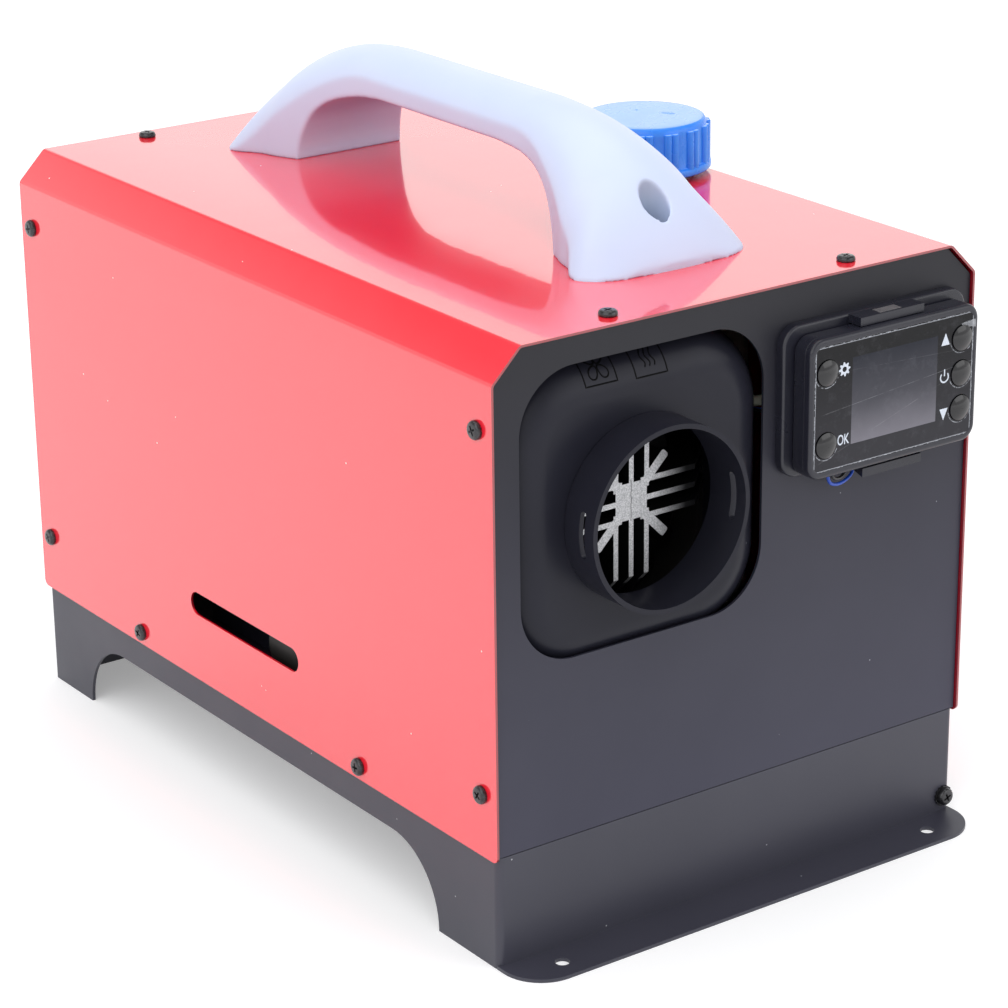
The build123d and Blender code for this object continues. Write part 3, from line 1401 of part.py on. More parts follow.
# Controller bracket screwed to the front panel, with its top clip and lower lip
clip_x = control_x + 0.8
clip_width_x = 33.0
clip_proud = 3.4
clip_insert = 11.5       # width of the pocket in the clip's top
lip_x = control_x + 2.8
lip_width = 31.0
lip_thickness = 2.8
plate_width = control_width + 2 * plate_side
plate_height = control_height + 2 * plate_side - 2 * plate_shift
case_depth = control_reach - bracket_depth - bezel_depth
control_top = control_z + control_height / 2
control_bottom = control_z - control_height / 2
with BuildPart() as controller_bracket:
    with BuildSketch(facing(-bracket_depth)):
        with Locations((control_x - plate_shift, control_z + plate_lift)):
            RectangleRounded(plate_width, plate_height, control_corner + 2)
    extrude(amount=-bracket_depth)
    fillet(controller_bracket.edges().group_by(Axis.Y)[0], 1.2)
    with BuildSketch(facing(-bracket_depth - case_depth)):
        with Locations((clip_x, control_top + fit_gap + clip_proud / 2)):
            Rectangle(clip_width_x, clip_proud)
    extrude(amount=-(bracket_depth + case_depth))
    with BuildSketch(Plane.XY.offset(control_top + fit_gap + clip_proud)):
        with Locations((clip_x, front_y - bracket_depth - case_depth / 2)):
            Rectangle(clip_insert, case_depth - 2)
    extrude(amount=-0.8, mode=Mode.SUBTRACT)
    with BuildSketch(facing(-bracket_depth - case_depth)):
        with Locations((lip_x, control_bottom - fit_gap - lip_thickness / 2)):
            Rectangle(lip_width, lip_thickness)
    extrude(amount=-(bracket_depth + case_depth))
    with BuildSketch(facing(-bracket_depth)):
        with Locations((lip_x, control_bottom - fit_gap)):
            Rectangle(lip_width, 2 * lip_thickness)
    extrude(amount=-bracket_depth)
    with BuildSketch(facing(-bracket_depth)):
        with Locations((grommet_x, (grommet_z + control_bottom) / 2)):
            Rectangle(2 * grommet_flange + 3, grommet_z - control_bottom + 16)
    extrude(amount=-bracket_depth, mode=Mode.SUBTRACT)
controller_bracket.part.label = "controller_bracket"
export_step(controller_bracket.part, "parts/controller_bracket.step")

# Controller case: the back half of the housing, open to the front
case_wall = 2.0
wire_radius = 0.7
wire_exit_x = control_x - 27.1
wire_exit_depth = 7.5
wire_exit_half = 3.0
with BuildPart() as controller_case:
    extrude(control_plate(bracket_depth + case_depth, control_width, control_height, control_corner),
            amount=-case_depth)
    fillet(controller_case.edges().group_by(Axis.Y)[-1], 1.5)
    extrude(control_plate(bracket_depth + case_depth, control_width - 2 * case_wall, control_height - 2 * case_wall, control_corner - case_wall),
            amount=-(case_depth - case_wall), mode=Mode.SUBTRACT)
    with BuildSketch(Plane.XY.offset(control_bottom)):
        with Locations((wire_exit_x, front_y - wire_exit_depth)):
            Rectangle(2 * wire_exit_half, 2 * (wire_radius + fit_gap))
    extrude(amount=2 * case_wall, both=True, mode=Mode.SUBTRACT)
controller_case.part.label = "controller_case"
export_step(controller_case.part, "parts/controller_case.step")

# Bezel: the front frame round the window
with BuildPart() as controller_bezel:
    extrude(control_plate(control_reach, control_width, control_height, control_corner),
            amount=-bezel_depth)
    fillet(controller_bezel.edges().group_by(Axis.Y)[0], 1.6)
    extrude(control_plate(control_reach, window_width + 2 * fit_gap, window_height + 2 * fit_gap, 3),
            amount=-window_thickness - 0.2, mode=Mode.SUBTRACT)
    extrude(control_plate(control_reach, window_width + 2 * fit_gap, window_height - 3, 2),
            amount=-bezel_depth, mode=Mode.SUBTRACT)
controller_bezel.part.label = "controller_bezel"
export_step(controller_bezel.part, "parts/controller_bezel.step")

button_left = control_x - button_spread / 2
button_right = control_x + button_spread / 2
button_places = {
    "menu_button": (button_left, control_z + menu_rise),
    "ok_button": (button_left, control_z - ok_drop),
    "up_button": (button_right, control_z + face_rise + side_button_pitch),
    "power_button": (button_right, control_z + face_rise),
    "down_button": (button_right, control_z + face_rise - side_button_pitch),
}

# Window over the display, with a hole for each button
window_front = control_reach - 0.2
with BuildPart() as controller_window:
    extrude(control_plate(window_front, window_width, window_height, 2.8), amount=-window_thickness)
    with BuildSketch(facing(-window_front)):
        with Locations(*button_places.values()):
            Circle(button_radius + button_gap)
    extrude(amount=-window_thickness, mode=Mode.SUBTRACT)
controller_window.part.label = "controller_window"
export_step(controller_window.part, "parts/controller_window.step")

# Display module right behind the window
lcd_depth = 3.0
with BuildPart() as lcd_screen:
    with BuildSketch(facing(-(window_front - window_thickness))):
        with Locations((control_x, control_z + face_rise)):
            Rectangle(lcd_width, lcd_height)
    extrude(amount=-lcd_depth)
lcd_screen.part.label = "lcd_screen"
export_step(lcd_screen.part, "parts/lcd_screen.step")

# Circuit board with a switch under each button
board_front = bracket_depth + case_wall + board_sheet
switch_height = 1.4
with BuildPart() as controller_board:
    extrude(control_plate(board_front, control_width - 2 * case_wall - 1, control_height - 2 * case_wall - 1, 3),
            amount=-board_sheet)
    with BuildSketch(facing(-board_front - switch_height)):
        with Locations(*button_places.values()):
            Rectangle(5, 5)
    extrude(amount=-switch_height)
    with BuildSketch(facing(-board_front - 0.9)):
        with Locations((control_x, control_z + face_rise)):
            Rectangle(lcd_width - 6, lcd_height - 6)
    extrude(amount=-0.9)
    with BuildSketch(facing(-board_front)):
        with Locations((wire_exit_x, control_bottom + case_wall + 2)):
            Rectangle(2 * wire_exit_half, 5)
    extrude(amount=-board_sheet, mode=Mode.SUBTRACT)
controller_board.part.label = "controller_board"
export_step(controller_board.part, "parts/controller_board.step")

# Push buttons: a domed cap, a flange behind the window and a stem over the switch
flange_thickness = 0.8
flange_radius = button_radius + button_gap + button_flange
flange_front = window_front - window_thickness - fit_gap
stem_foot = board_front + switch_height + button_travel + fit_gap
for button_name, (across, height) in button_places.items():
    with BuildPart() as button:
        with BuildSketch(Plane(origin=(across, front_y, height), x_dir=(1, 0, 0), z_dir=(0, 0, 1))):
            with BuildLine():
                Polyline((0, -stem_foot), (1.6, -stem_foot), (1.6, -flange_front + flange_thickness),
                         (flange_radius, -flange_front + flange_thickness),
                         (flange_radius, -flange_front), (button_radius, -flange_front),
                         (button_radius, -control_reach - 0.3))
                ThreePointArc((button_radius, -control_reach - 0.3), (0, -control_reach - button_proud),
                              (-button_radius, -control_reach - 0.3))
                Polyline((-button_radius, -control_reach - 0.3), (-button_radius, -stem_foot),
                         (0, -stem_foot))
            make_face()
            split(bisect_by=Plane.YZ)
        revolve(axis=Axis((across, front_y, height), (0, 1, 0)))
    button.part.label = button_name
    export_step(button.part, f"parts/{button_name}.step")

# Rubber grommet in the front panel
with BuildPart() as cable_grommet:
    for depth, radius, thickness in (
        (-1.0, grommet_flange, 1.0),
        (0.0, grommet_bore + grommet_wall, panel_sheet),
        (panel_sheet, grommet_flange, 1.0),
    ):
        with BuildSketch(facing(depth)):
            with Locations((grommet_x, grommet_z)):
                Circle(radius)
        extrude(amount=-thickness)
    with BuildSketch(facing(-1)):
        with Locations((grommet_x, grommet_z)):
            Circle(grommet_bore)
    extrude(amount=-(panel_sheet + 2), mode=Mode.SUBTRACT)
cable_grommet.part.label = "cable_grommet"
export_step(cable_grommet.part, "parts/cable_grommet.step")

# Controller wires: a short loop under the controller, then through the panel to the casing
wire_end_y = exchanger_end + wire_lead
wire_behind = 2.0
for wire_name, shift, dip in (("blue_wire", 1.1, 6.2), ("black_wire", -1.1, 4.2)):
    loop_low = control_bottom - dip
    loop_end = grommet_x + shift
    with BuildPart() as wire:
        with BuildLine() as wire_route:
            FilletPolyline(
                (wire_exit_x - shift, front_y - wire_exit_depth, control_bottom + case_wall + 1),
                (wire_exit_x - shift, front_y - wire_exit_depth, loop_low),
                (loop_end, front_y - wire_behind, loop_low),
                (loop_end, front_y - wire_behind, grommet_z),
                (loop_end, front_y + 34, grommet_z),
                (line_x + shift, front_y + 70, grommet_z),
                (line_x + shift, wire_end_y + shift, grommet_z),
                (heater_x + casing_half - casing_wall, wire_end_y + shift, grommet_z),
                radius=[4.4, 4.4, 2.4, 12, 12, 3],
            )
        with BuildSketch(Plane(origin=wire_route.line @ 0, z_dir=wire_route.line % 0)):
            Circle(wire_radius)
        sweep(path=wire_route.line)
    wire.part.label = wire_name
    export_step(wire.part, f"parts/{wire_name}.step")

# Power lead gland in the rear panel, with its nut inside
gland_bore = 3.5
with BuildPart() as power_gland:
    with BuildSketch(facing(box_depth - panel_sheet - 7)):
        with Locations((gland_x, gland_z)):
            Circle(gland_radius)
    extrude(amount=-(panel_sheet + 7))
    with BuildSketch(facing(box_depth - panel_sheet - 5)):
        with Locations((gland_x, gland_z)):
            RegularPolygon(10, 6)
    extrude(amount=-5)
    with BuildSketch(facing(box_depth)):
        with Locations((gland_x, gland_z)):
            RegularPolygon(9.5, 6)
    extrude(amount=-5)
    with BuildSketch(facing(box_depth + 5)):
        with Locations((gland_x, gland_z)):
            Circle(7)
    extrude(amount=-4.5, taper=15)
    with BuildSketch(facing(box_depth - panel_sheet - 7)):
        with Locations((gland_x, gland_z)):
            Circle(gland_bore)
    extrude(amount=-30, mode=Mode.SUBTRACT)
power_gland.part.label = "power_gland"
export_step(power_gland.part, "parts/power_gland.step")
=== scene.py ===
import json
import math
import random

import bmesh
import bpy
from mathutils import Matrix, Vector
from mathutils.bvhtree import BVHTree

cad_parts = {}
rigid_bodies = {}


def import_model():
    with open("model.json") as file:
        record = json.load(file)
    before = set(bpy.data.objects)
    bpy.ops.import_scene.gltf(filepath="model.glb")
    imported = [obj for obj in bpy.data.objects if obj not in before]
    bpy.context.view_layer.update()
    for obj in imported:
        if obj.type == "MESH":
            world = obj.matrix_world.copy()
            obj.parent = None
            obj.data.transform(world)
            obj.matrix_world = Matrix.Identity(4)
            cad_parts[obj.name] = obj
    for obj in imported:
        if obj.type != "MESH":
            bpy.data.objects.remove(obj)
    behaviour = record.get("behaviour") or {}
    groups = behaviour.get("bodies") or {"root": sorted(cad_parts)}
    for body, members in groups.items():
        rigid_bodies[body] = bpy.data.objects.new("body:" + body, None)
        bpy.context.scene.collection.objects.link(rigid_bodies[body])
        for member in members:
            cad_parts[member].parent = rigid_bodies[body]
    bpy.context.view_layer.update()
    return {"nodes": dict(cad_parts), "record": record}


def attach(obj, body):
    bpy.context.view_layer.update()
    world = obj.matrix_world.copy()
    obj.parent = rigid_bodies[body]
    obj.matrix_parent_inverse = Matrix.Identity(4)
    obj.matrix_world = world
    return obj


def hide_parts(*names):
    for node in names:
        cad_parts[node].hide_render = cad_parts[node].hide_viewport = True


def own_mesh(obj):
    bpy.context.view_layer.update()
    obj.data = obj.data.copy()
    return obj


for leftover in list(bpy.data.objects):   # start from an empty file
    bpy.data.objects.remove(leftover)

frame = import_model()
nodes = frame["nodes"]
record = frame["record"]
bodyOf = {node: body for body, members in record["behaviour"]["bodies"].items() for node in members}
slotOf = {entry["node"]: entry["material_slot"] for entry in record["subparts"]}
rng = random.Random(7)
mm = 0.001
print("frame loaded:", len(nodes), "nodes")


# shader helpers

def setInputs(node, values):
    for key, value in values.items():
        node.inputs[key].default_value = value


def addNode(tree, kind, values={}, **settings):
    node = tree.nodes.new(kind)
    for key, value in settings.items():
        setattr(node, key, value)
    setInputs(node, values)
    return node


def newMaterial(name):
    material = bpy.data.materials.new(name)
    material.use_nodes = True
    tree = material.node_tree
    return material, tree, tree.nodes["Principled BSDF"]


def objectPlace(tree, stretch=(1, 1, 1), shift=(0, 0, 0)):
    coords = addNode(tree, "ShaderNodeTexCoord")
    mapping = addNode(tree, "ShaderNodeMapping", {"Location": shift, "Scale": stretch})
    tree.links.new(coords.outputs["Object"], mapping.inputs["Vector"])
    return mapping.outputs["Vector"]


def noise(tree, place, scale, detail=3.0, roughness=0.55):
    node = addNode(tree, "ShaderNodeTexNoise", {"Scale": scale, "Detail": detail, "Roughness": roughness})
    tree.links.new(place, node.inputs["Vector"])
    return node.outputs["Fac"]


def ramp(tree, factor, stops):
    node = addNode(tree, "ShaderNodeValToRGB")
    elements = node.color_ramp.elements
    while len(elements) < len(stops):
        elements.new(0.5)
    for element, (at, colour) in zip(elements, stops):
        element.position = at
        element.color = (*colour, 1)
    tree.links.new(factor, node.inputs["Fac"])
    return node.outputs["Color"]


def spread(tree, factor, low, high, start=0.3, end=0.7):
    node = addNode(tree, "ShaderNodeMapRange", {
        "From Min": start, "From Max": end, "To Min": low, "To Max": high})
    tree.links.new(factor, node.inputs["Value"])
    return node.outputs["Result"]


def calc(tree, operation, first, second=None):
    node = addNode(tree, "ShaderNodeMath", operation=operation)
    for index, value in enumerate((first, second)):
        if isinstance(value, (int, float)):
            node.inputs[index].default_value = value
        elif value is not None:
            tree.links.new(value, node.inputs[index])
    return node.outputs["Value"]


def product(tree, first, *others):
    for other in others:
        first = calc(tree, "MULTIPLY", first, other)
    return first


def within(tree, value, middle, half):
    gap = calc(tree, "ABSOLUTE", calc(tree, "SUBTRACT", value, middle))
    return calc(tree, "LESS_THAN", gap, half)


def distance(tree, spot, x, y, axes="XY"):
    gaps = [calc(tree, "SUBTRACT", spot[axis], middle) for axis, middle in zip(axes, (x, y))]
    return calc(tree, "SQRT", calc(tree, "ADD", *[product(tree, gap, gap) for gap in gaps]))


def splitParts(tree, vector):
    parts = addNode(tree, "ShaderNodeSeparateXYZ")
    tree.links.new(vector, parts.inputs["Vector"])
    return parts.outputs


def facingParts(tree):
    return splitParts(tree, addNode(tree, "ShaderNodeNewGeometry").outputs["Normal"])


def blendColours(tree, factor, first, second):
    node = addNode(tree, "ShaderNodeMix", data_type="RGBA")
    for target, value in zip(node.inputs[6:8], (first, second)):   # its two colour inputs
        if isinstance(value, tuple):
            target.default_value = (*value, 1)
        else:
            tree.links.new(value, target)
    tree.links.new(factor, node.inputs["Factor"])
    return node.outputs[2]


def bump(tree, shader, height, strength, depth, before=None):
    node = addNode(tree, "ShaderNodeBump", {"Strength": strength, "Distance": depth})
    tree.links.new(height, node.inputs["Height"])
    if before is not None:
        tree.links.new(before, node.inputs["Normal"])
    tree.links.new(node.outputs["Normal"], shader.inputs["Normal"])
    return node.outputs["Normal"]


def twoTones(tree, factor, look, band=(0.3, 0.7)):
    return ramp(tree, factor, list(zip(band, (look["deep"], look["pale"]))))


def roughen(tree, shader, place, scale, rough, roughness=0.55):
    wander = noise(tree, place, scale, 3, roughness)
    tree.links.new(spread(tree, wander, *rough), shader.inputs["Roughness"])


def addDust(tree, place, tone, look):
    cells = addNode(tree, "ShaderNodeTexVoronoi", {"Scale": look["scale"], "Randomness": 1.0})
    tree.links.new(place, cells.inputs["Vector"])
    near = calc(tree, "LESS_THAN", cells.outputs["Distance"], look["size"])
    few = calc(tree, "GREATER_THAN", noise(tree, place, look["clusters"], 2), look["share"])
    return blendColours(tree, product(tree, near, few), tone, look["colour"])


# what all finishes share: the painted sheen on top, the painted shade on the underside, the edge of a screw
# well's painted shade, the dust, and the grain's scale, strength, depth and detail where a look leaves them
# out
finishRules = {
    "grain": (1800, 0.15, 0.0001, 3),
    "topBand": (0.93, 0.995), "underBand": (-0.75, -0.25), "wellEdge": 0.86, "speckEdge": 0.02,
    "dust": {"scale": 150, "clusters": 40, "share": 0.60, "colour": (0.45, 0.46, 0.5)},
}


# a finish: two tones in soft patches, a roughness that wanders, and a fine grain
def makeFinish(name, look):
    material, tree, shader = newMaterial(name)
    place = objectPlace(tree, look.get("stretch", (1, 1, 1)))
    tone = twoTones(tree, noise(tree, place, look["patchScale"], 4, 0.6), look)
    if "specks" in look:
        specks = look["specks"]
        fleck = noise(tree, place, specks["scale"], 2, 0.5)
        mask = spread(tree, fleck, 0, 1, specks["start"], specks["start"] + finishRules["speckEdge"])
        tone = blendColours(tree, mask, tone, specks["colour"])
    if "top" in look:   # painted sheen: paler where it faces up
        paintedSheen = spread(tree, facingParts(tree)["Z"], 0, 1, *finishRules["topBand"])
        tone = blendColours(tree, paintedSheen, tone, look["top"])
    if "under" in look:   # painted shade where it faces down
        paintedUnderShade = addNode(tree, "ShaderNodeVectorMath", {1: look["under"]}, operation="MULTIPLY")
        tree.links.new(tone, paintedUnderShade.inputs[0])
        down = spread(tree, facingParts(tree)["Z"], 1, 0, *finishRules["underBand"])
        tone = blendColours(tree, down, tone, paintedUnderShade.outputs["Vector"])
    if "wells" in look:   # painted shade down the screw wells
        wells, spot = look["wells"], splitParts(tree, place)
        for x, y in wells["at"]:
            away = distance(tree, spot, x, y)
            inside = spread(tree, away, 1, 0, wells["radius"] * finishRules["wellEdge"], wells["radius"])
            tone = blendColours(tree, inside, tone, wells["colour"])
    if "fade" in look:   # painted shade: darker high up and lighter low down
        low, lowTone, high, highTone = look["fade"]
        shade = addNode(tree, "ShaderNodeVectorMath", operation="SCALE")
        tree.links.new(tone, shade.inputs[0])
        height = splitParts(tree, place)["Z"]
        tree.links.new(spread(tree, height, lowTone, highTone, low, high), shade.inputs["Scale"])
        tone = shade.outputs["Vector"]
    if "dust" in look:
        tone = addDust(tree, place, tone, {**finishRules["dust"], "size": look["dust"]})
    tree.links.new(tone, shader.inputs["Base Color"])
    roughen(tree, shader, place, look.get("roughScale", 60), look["rough"], 0.6)
    scale, strength, depth, detail = look["grain"] + finishRules["grain"][len(look["grain"]):]
    bump(tree, shader, noise(tree, place, scale, detail, 0.6), strength, depth)
    setInputs(shader, {"Metallic": look.get("metallic", 0),
                       "Specular IOR Level": look.get("specular", 0.5)})
    if "soft" in look:   # light goes a little way in
        setInputs(shader, dict(zip(("Subsurface Weight", "Subsurface Radius"), look["soft"])))
    setInputs(shader, look.get("shader", {}))
    return material


# deep and pale tone, scale of the patches, roughness from and to, grain
def tones(deep, pale, patchScale, rough, grain=(), **extra):
    return {"deep": deep, "pale": pale, "patchScale": patchScale, "rough": rough, "grain": grain, **extra}


finishLooks = {
    # the panel: painted shade, darker higher up
    "black_steel": tones((0.0365, 0.0363, 0.059), (0.044, 0.0437, 0.069), 9, (0.38, 0.45),
        (1500, 0.12, 0.00008), roughScale=25, dust=0.045, fade=(0.05, 1.12, 0.24, 0.24), specular=0.36),
    "tray_steel": tones((0.0385, 0.0385, 0.0565), (0.045, 0.0448, 0.065), 9, (0.38, 0.45),
        (1500, 0.12, 0.00008), roughScale=25, dust=0.05, specular=0.55),
    "hood_plastic": tones((0.0135, 0.0137, 0.0215), (0.0185, 0.0187, 0.0285), 14, (0.3, 0.38),
        (1900, 0.06, 0.00006), roughScale=45, dust=0.04, specular=0.2),
    "black_screw": tones((0.02, 0.02, 0.022), (0.06, 0.06, 0.065), 300, (0.18, 0.32), (2500,),
        roughScale=900, metallic=0.75, shader={"Coat Weight": 0.4, "Coat Roughness": 0.15}),
    "zinc": tones((0.42, 0.43, 0.42), (0.62, 0.62, 0.58), 120, (0.24, 0.4), (1200,), metallic=1.0),
    # the handle: painted shade down its screw wells and where it faces down
    "handle_plastic": tones((0.575, 0.655, 0.86), (0.605, 0.68, 0.875), 14, (0.36, 0.42),
        (1400, 0.05, 0.00006), roughScale=40,
        wells={"at": [(0, -0.1189), (0, 0.1279)], "radius": 0.0062, "colour": (0.36, 0.42, 0.55)},
        under=(0.7, 0.8, 0.9), specular=0.42, soft=(0.06, (0.003, 0.003, 0.004))),
    "tank_plastic": tones((0.62, 0.61, 0.56), (0.72, 0.71, 0.67), 22, (0.34, 0.46), (700, 0.12),
        soft=(0.25, (0.006, 0.005, 0.004))),
    "rubber": tones((0.016, 0.016, 0.016), (0.03, 0.029, 0.028), 90, (0.62, 0.8), (1300, 0.3)),
    "button_rubber": tones((0.004, 0.004, 0.0055), (0.006, 0.006, 0.008), 200, (0.12, 0.17), (2600, 0.03),
        specular=0.6),
    "brass": tones((0.55, 0.36, 0.12), (0.78, 0.56, 0.22), 160, (0.2, 0.34), (1500,), metallic=1.0),
    "black_plastic": tones((0.0128, 0.0131, 0.0215), (0.0175, 0.018, 0.0285), 16, (0.25, 0.33),
        (1900, 0.09, 0.00006), roughScale=45, dust=0.04, specular=0.5),
    "casing_plastic": tones((0.022, 0.021, 0.02), (0.033, 0.031, 0.03), 25, (0.48, 0.62), (1100, 0.2)),
    "cast_aluminium": tones((0.44, 0.45, 0.46), (0.66, 0.66, 0.67), 420, (0.42, 0.58),
        (760, 0.75, 0.0002, 5), roughScale=700, metallic=0.72),
    "burner_steel": tones((0.19, 0.15, 0.15), (0.42, 0.36, 0.3), 55, (0.32, 0.5), (900,), metallic=1.0),
    "stainless": tones((0.48, 0.47, 0.45), (0.66, 0.65, 0.63), 70, (0.22, 0.36), (500,), stretch=(1, 1, 9),
        metallic=1.0),
    "magnet": tones((0.05, 0.05, 0.055), (0.1, 0.1, 0.105), 200, (0.45, 0.6), metallic=0.6),
    "board_green": tones((0.006, 0.07, 0.024), (0.012, 0.12, 0.04), 260, (0.22, 0.34), (600, 0.3),
        specks={"scale": 520, "start": 0.7, "colour": (0.62, 0.55, 0.35)},
        shader={"Coat Weight": 0.5, "Coat Roughness": 0.2}),
    "gasket": tones((0.09, 0.09, 0.085), (0.2, 0.19, 0.18), 600, (0.75, 0.9), (900, 0.6)),
    # the cap: a painted sheen, paler blue on the faces turned up
    "cap_plastic": tones((0.022, 0.215, 0.84), (0.03, 0.25, 0.9), 40, (0.24, 0.32), (900, 0.0),
        top=(0.29, 0.485, 0.96), soft=(0.08, (0.001, 0.002, 0.004))),
    "cap_mark": tones((0.12, 0.34, 0.92), (0.16, 0.38, 0.95), 200, (0.3, 0.4), (900, 0.06)),
    "blue_lead": tones((0.012, 0.06, 0.42), (0.02, 0.09, 0.55), 200, (0.28, 0.4), (1500, 0.05)),
    "black_lead": tones((0.012, 0.012, 0.013), (0.025, 0.025, 0.026), 200, (0.3, 0.42), (1500, 0.05)),
    "spring_steel": tones((0.34, 0.34, 0.35), (0.52, 0.52, 0.52), 300, (0.2, 0.32), metallic=1.0),
    "fuel_line": tones((0.5, 0.52, 0.42), (0.62, 0.63, 0.52), 80, (0.25, 0.36), (1800, 0.05),
        soft=(0.2, (0.002, 0.002, 0.002))),
    "print_white": tones((0.62, 0.68, 0.78), (0.74, 0.79, 0.88), 900, (0.5, 0.6), (2500, 0.1)),
    "clip_grey": tones((0.105, 0.1, 0.108), (0.14, 0.133, 0.142), 500, (0.5, 0.6), (2000, 0.2)),
    "icon_black": tones((0.001, 0.001, 0.0014), (0.0022, 0.0022, 0.003), 100, (0.5, 0.6), (2000, 0.05),
        specular=0.12),
    "filter_plastic": tones((0.6, 0.6, 0.53), (0.72, 0.71, 0.64), 90, (0.22, 0.32), (800, 0.08),
        soft=(0.2, (0.003, 0.003, 0.002))),
    "fuel_rubber": tones((0.013, 0.013, 0.014), (0.026, 0.026, 0.027), 60, (0.45, 0.6), (1500, 0.35)),
    "film_white": tones((0.55, 0.58, 0.64), (0.85, 0.87, 0.92), 420, (0.2, 0.35), (700, 0.5, 0.0003),
        shader={"Alpha": 0.35}),
}
finishes = {name: makeFinish(name, look) for name, look in finishLooks.items()}


# glossy red paint with orange peel and a few grains of dust, and painted shade on the faces turned to the
# front and on the inside walls
paintLook = {
    "deep": (0.93, 0.007, 0.026), "pale": (0.96, 0.010, 0.034), "patchScale": 5,
    "rough": (0.12, 0.18), "roughScale": 30,
    "peelScale": 430, "peelStrength": 0.02, "peelDepth": 0.0004,
    "waveScale": 60, "waveStrength": 0.012, "waveDepth": 0.002,
    "paintedEdgeShade": (0.30, 0.004, 0.014), "frontBand": (-0.9, -0.6), "inward": -0.05,
    "dust": {"scale": 120, "size": 0.045, "clusters": 35, "share": 0.62, "colour": (0.9, 0.75, 0.75)},
    "shader": {"Coat Weight": 1.0, "Coat Roughness": 0.02, "Coat IOR": 1.64, "Specular IOR Level": 0.6},
}


def makePaint(look):
    material, tree, shader = newMaterial("redPaint")
    place = objectPlace(tree)
    tone = twoTones(tree, noise(tree, place, look["patchScale"], 3), look)
    tone = addDust(tree, place, tone, look["dust"])
    facing, spot = facingParts(tree), splitParts(tree, place)
    # painted shade: a darker red on faces turned to the front and on the inside walls
    front = spread(tree, facing["Y"], 1, 0, *look["frontBand"])
    inward = calc(tree, "LESS_THAN", product(tree, facing["X"], spot["X"]), look["inward"])
    tone = blendColours(tree, calc(tree, "MAXIMUM", front, inward), tone, look["paintedEdgeShade"])
    tree.links.new(tone, shader.inputs["Base Color"])
    roughen(tree, shader, place, look["roughScale"], look["rough"])
    peel = noise(tree, place, look["peelScale"], 2, 0.5)
    first = bump(tree, shader, peel, look["peelStrength"], look["peelDepth"])
    wave = noise(tree, place, look["waveScale"], 1, 0.4)
    last = bump(tree, shader, wave, look["waveStrength"], look["waveDepth"], first)
    tree.links.new(last, shader.inputs["Coat Normal"])
    setInputs(shader, look["shader"])
    return material


finishes["red_paint"] = makePaint(paintLook)

# cast aluminium: bright grainy front ends, painted shade on the walls between the fins, deeper in and
# towards the fins' right ends, a parting line
castingLook = {
    "deep": (0.36, 0.37, 0.39), "pale": (0.72, 0.72, 0.74), "band": (0.34, 0.62), "grainScale": 1900,
    "grainStrength": 0.6, "grainDepth": 0.00015, "rough": (0.42, 0.6), "roughScale": 700,
    "metallic": 0.55, "paintedFinShade": (0.006, 0.006, 0.007), "frontBand": (-0.9, -0.5), "brightTo": -0.1628,
    "fade": (-0.0370, -0.0210), "line": (-0.0476, 0.00022), "lineHeight": (0.1762, 0.0085),
    "lineTone": (0.12, 0.12, 0.125), "lineShare": 0.7, "wobble": 0.0002, "wobbleScale": 500,
}


def makeCasting(look):
    material, tree, shader = newMaterial("exchangerMetal")
    place = objectPlace(tree)
    spot = splitParts(tree, place)
    grain = noise(tree, place, look["grainScale"], 4, 0.65)
    tone = twoTones(tree, grain, look, look["band"])
    wobble = spread(tree, noise(tree, place, look["wobbleScale"], 2), -look["wobble"], look["wobble"])
    onLine = within(tree, calc(tree, "ADD", spot["X"], wobble), *look["line"])
    nearBoss = within(tree, spot["Z"], *look["lineHeight"])
    tone = blendColours(tree, product(tree, onLine, nearBoss, look["lineShare"]), tone, look["lineTone"])
    # painted shade: the metal tone stays only on faces turned to the front, near the front and short of the
    # fins' right ends
    front = spread(tree, facingParts(tree)["Y"], 1, 0, *look["frontBand"])
    shallow = calc(tree, "LESS_THAN", spot["Y"], look["brightTo"])
    lit = spread(tree, spot["X"], 1, 0, *look["fade"])
    unshaded = product(tree, front, shallow, lit)
    tree.links.new(blendColours(tree, unshaded, look["paintedFinShade"], tone), shader.inputs["Base Color"])
    roughen(tree, shader, place, look["roughScale"], look["rough"])
    bump(tree, shader, grain, look["grainStrength"], look["grainDepth"])
    setInputs(shader, {"Metallic": look["metallic"]})
    return material


finishes["exchanger_metal"] = makeCasting(castingLook)


# the controller's window: print, display, scratches, and the torn film; all in millimetres
glassLook = {
    "centre": (65.7, 202.4), "half": (40.95, 25.2),
    "lcdRise": 0.8, "lcdHalf": (22.25, 17.75), "fade": (-16, 22), "fadeScale": 0.06, "fadeWander": 7,
    "lcdTones": [(0.010, 0.012, 0.022), (0.060, 0.060, 0.075), (0.205, 0.197, 0.232)],
    "printTones": [(0.0015, 0.0016, 0.0030), (0.024, 0.0235, 0.030)],
    "scratches": [(0.09, 1.2, 0.16), (0.32, -9.5, 0.12), (-0.05, 12.4, 0.05)],   # slope, rise, strength
    "scratchHalf": 0.11, "scratchTone": (0.75, 0.77, 0.82), "haze": 0.05, "hazeTone": (0.45, 0.46, 0.52),
    "edgeWidth": 0.17, "edgeSoft": 0.08, "edgeColour": (0.46, 0.48, 0.53), "hem": (0.05, 0.17),
    "fleckScale": 1.6, "fleckShare": 0.80, "roughness": (0.24, 0.5), "specular": 0.24,
    "buttons": [(30.6, 217.2), (30.6, 187.6), (100.8, 217.8), (100.8, 203.2), (100.8, 188.6)],
    "ringRadius": 6.15, "ringHalf": 0.2, "ringTop": (1.5, 0.35),
}


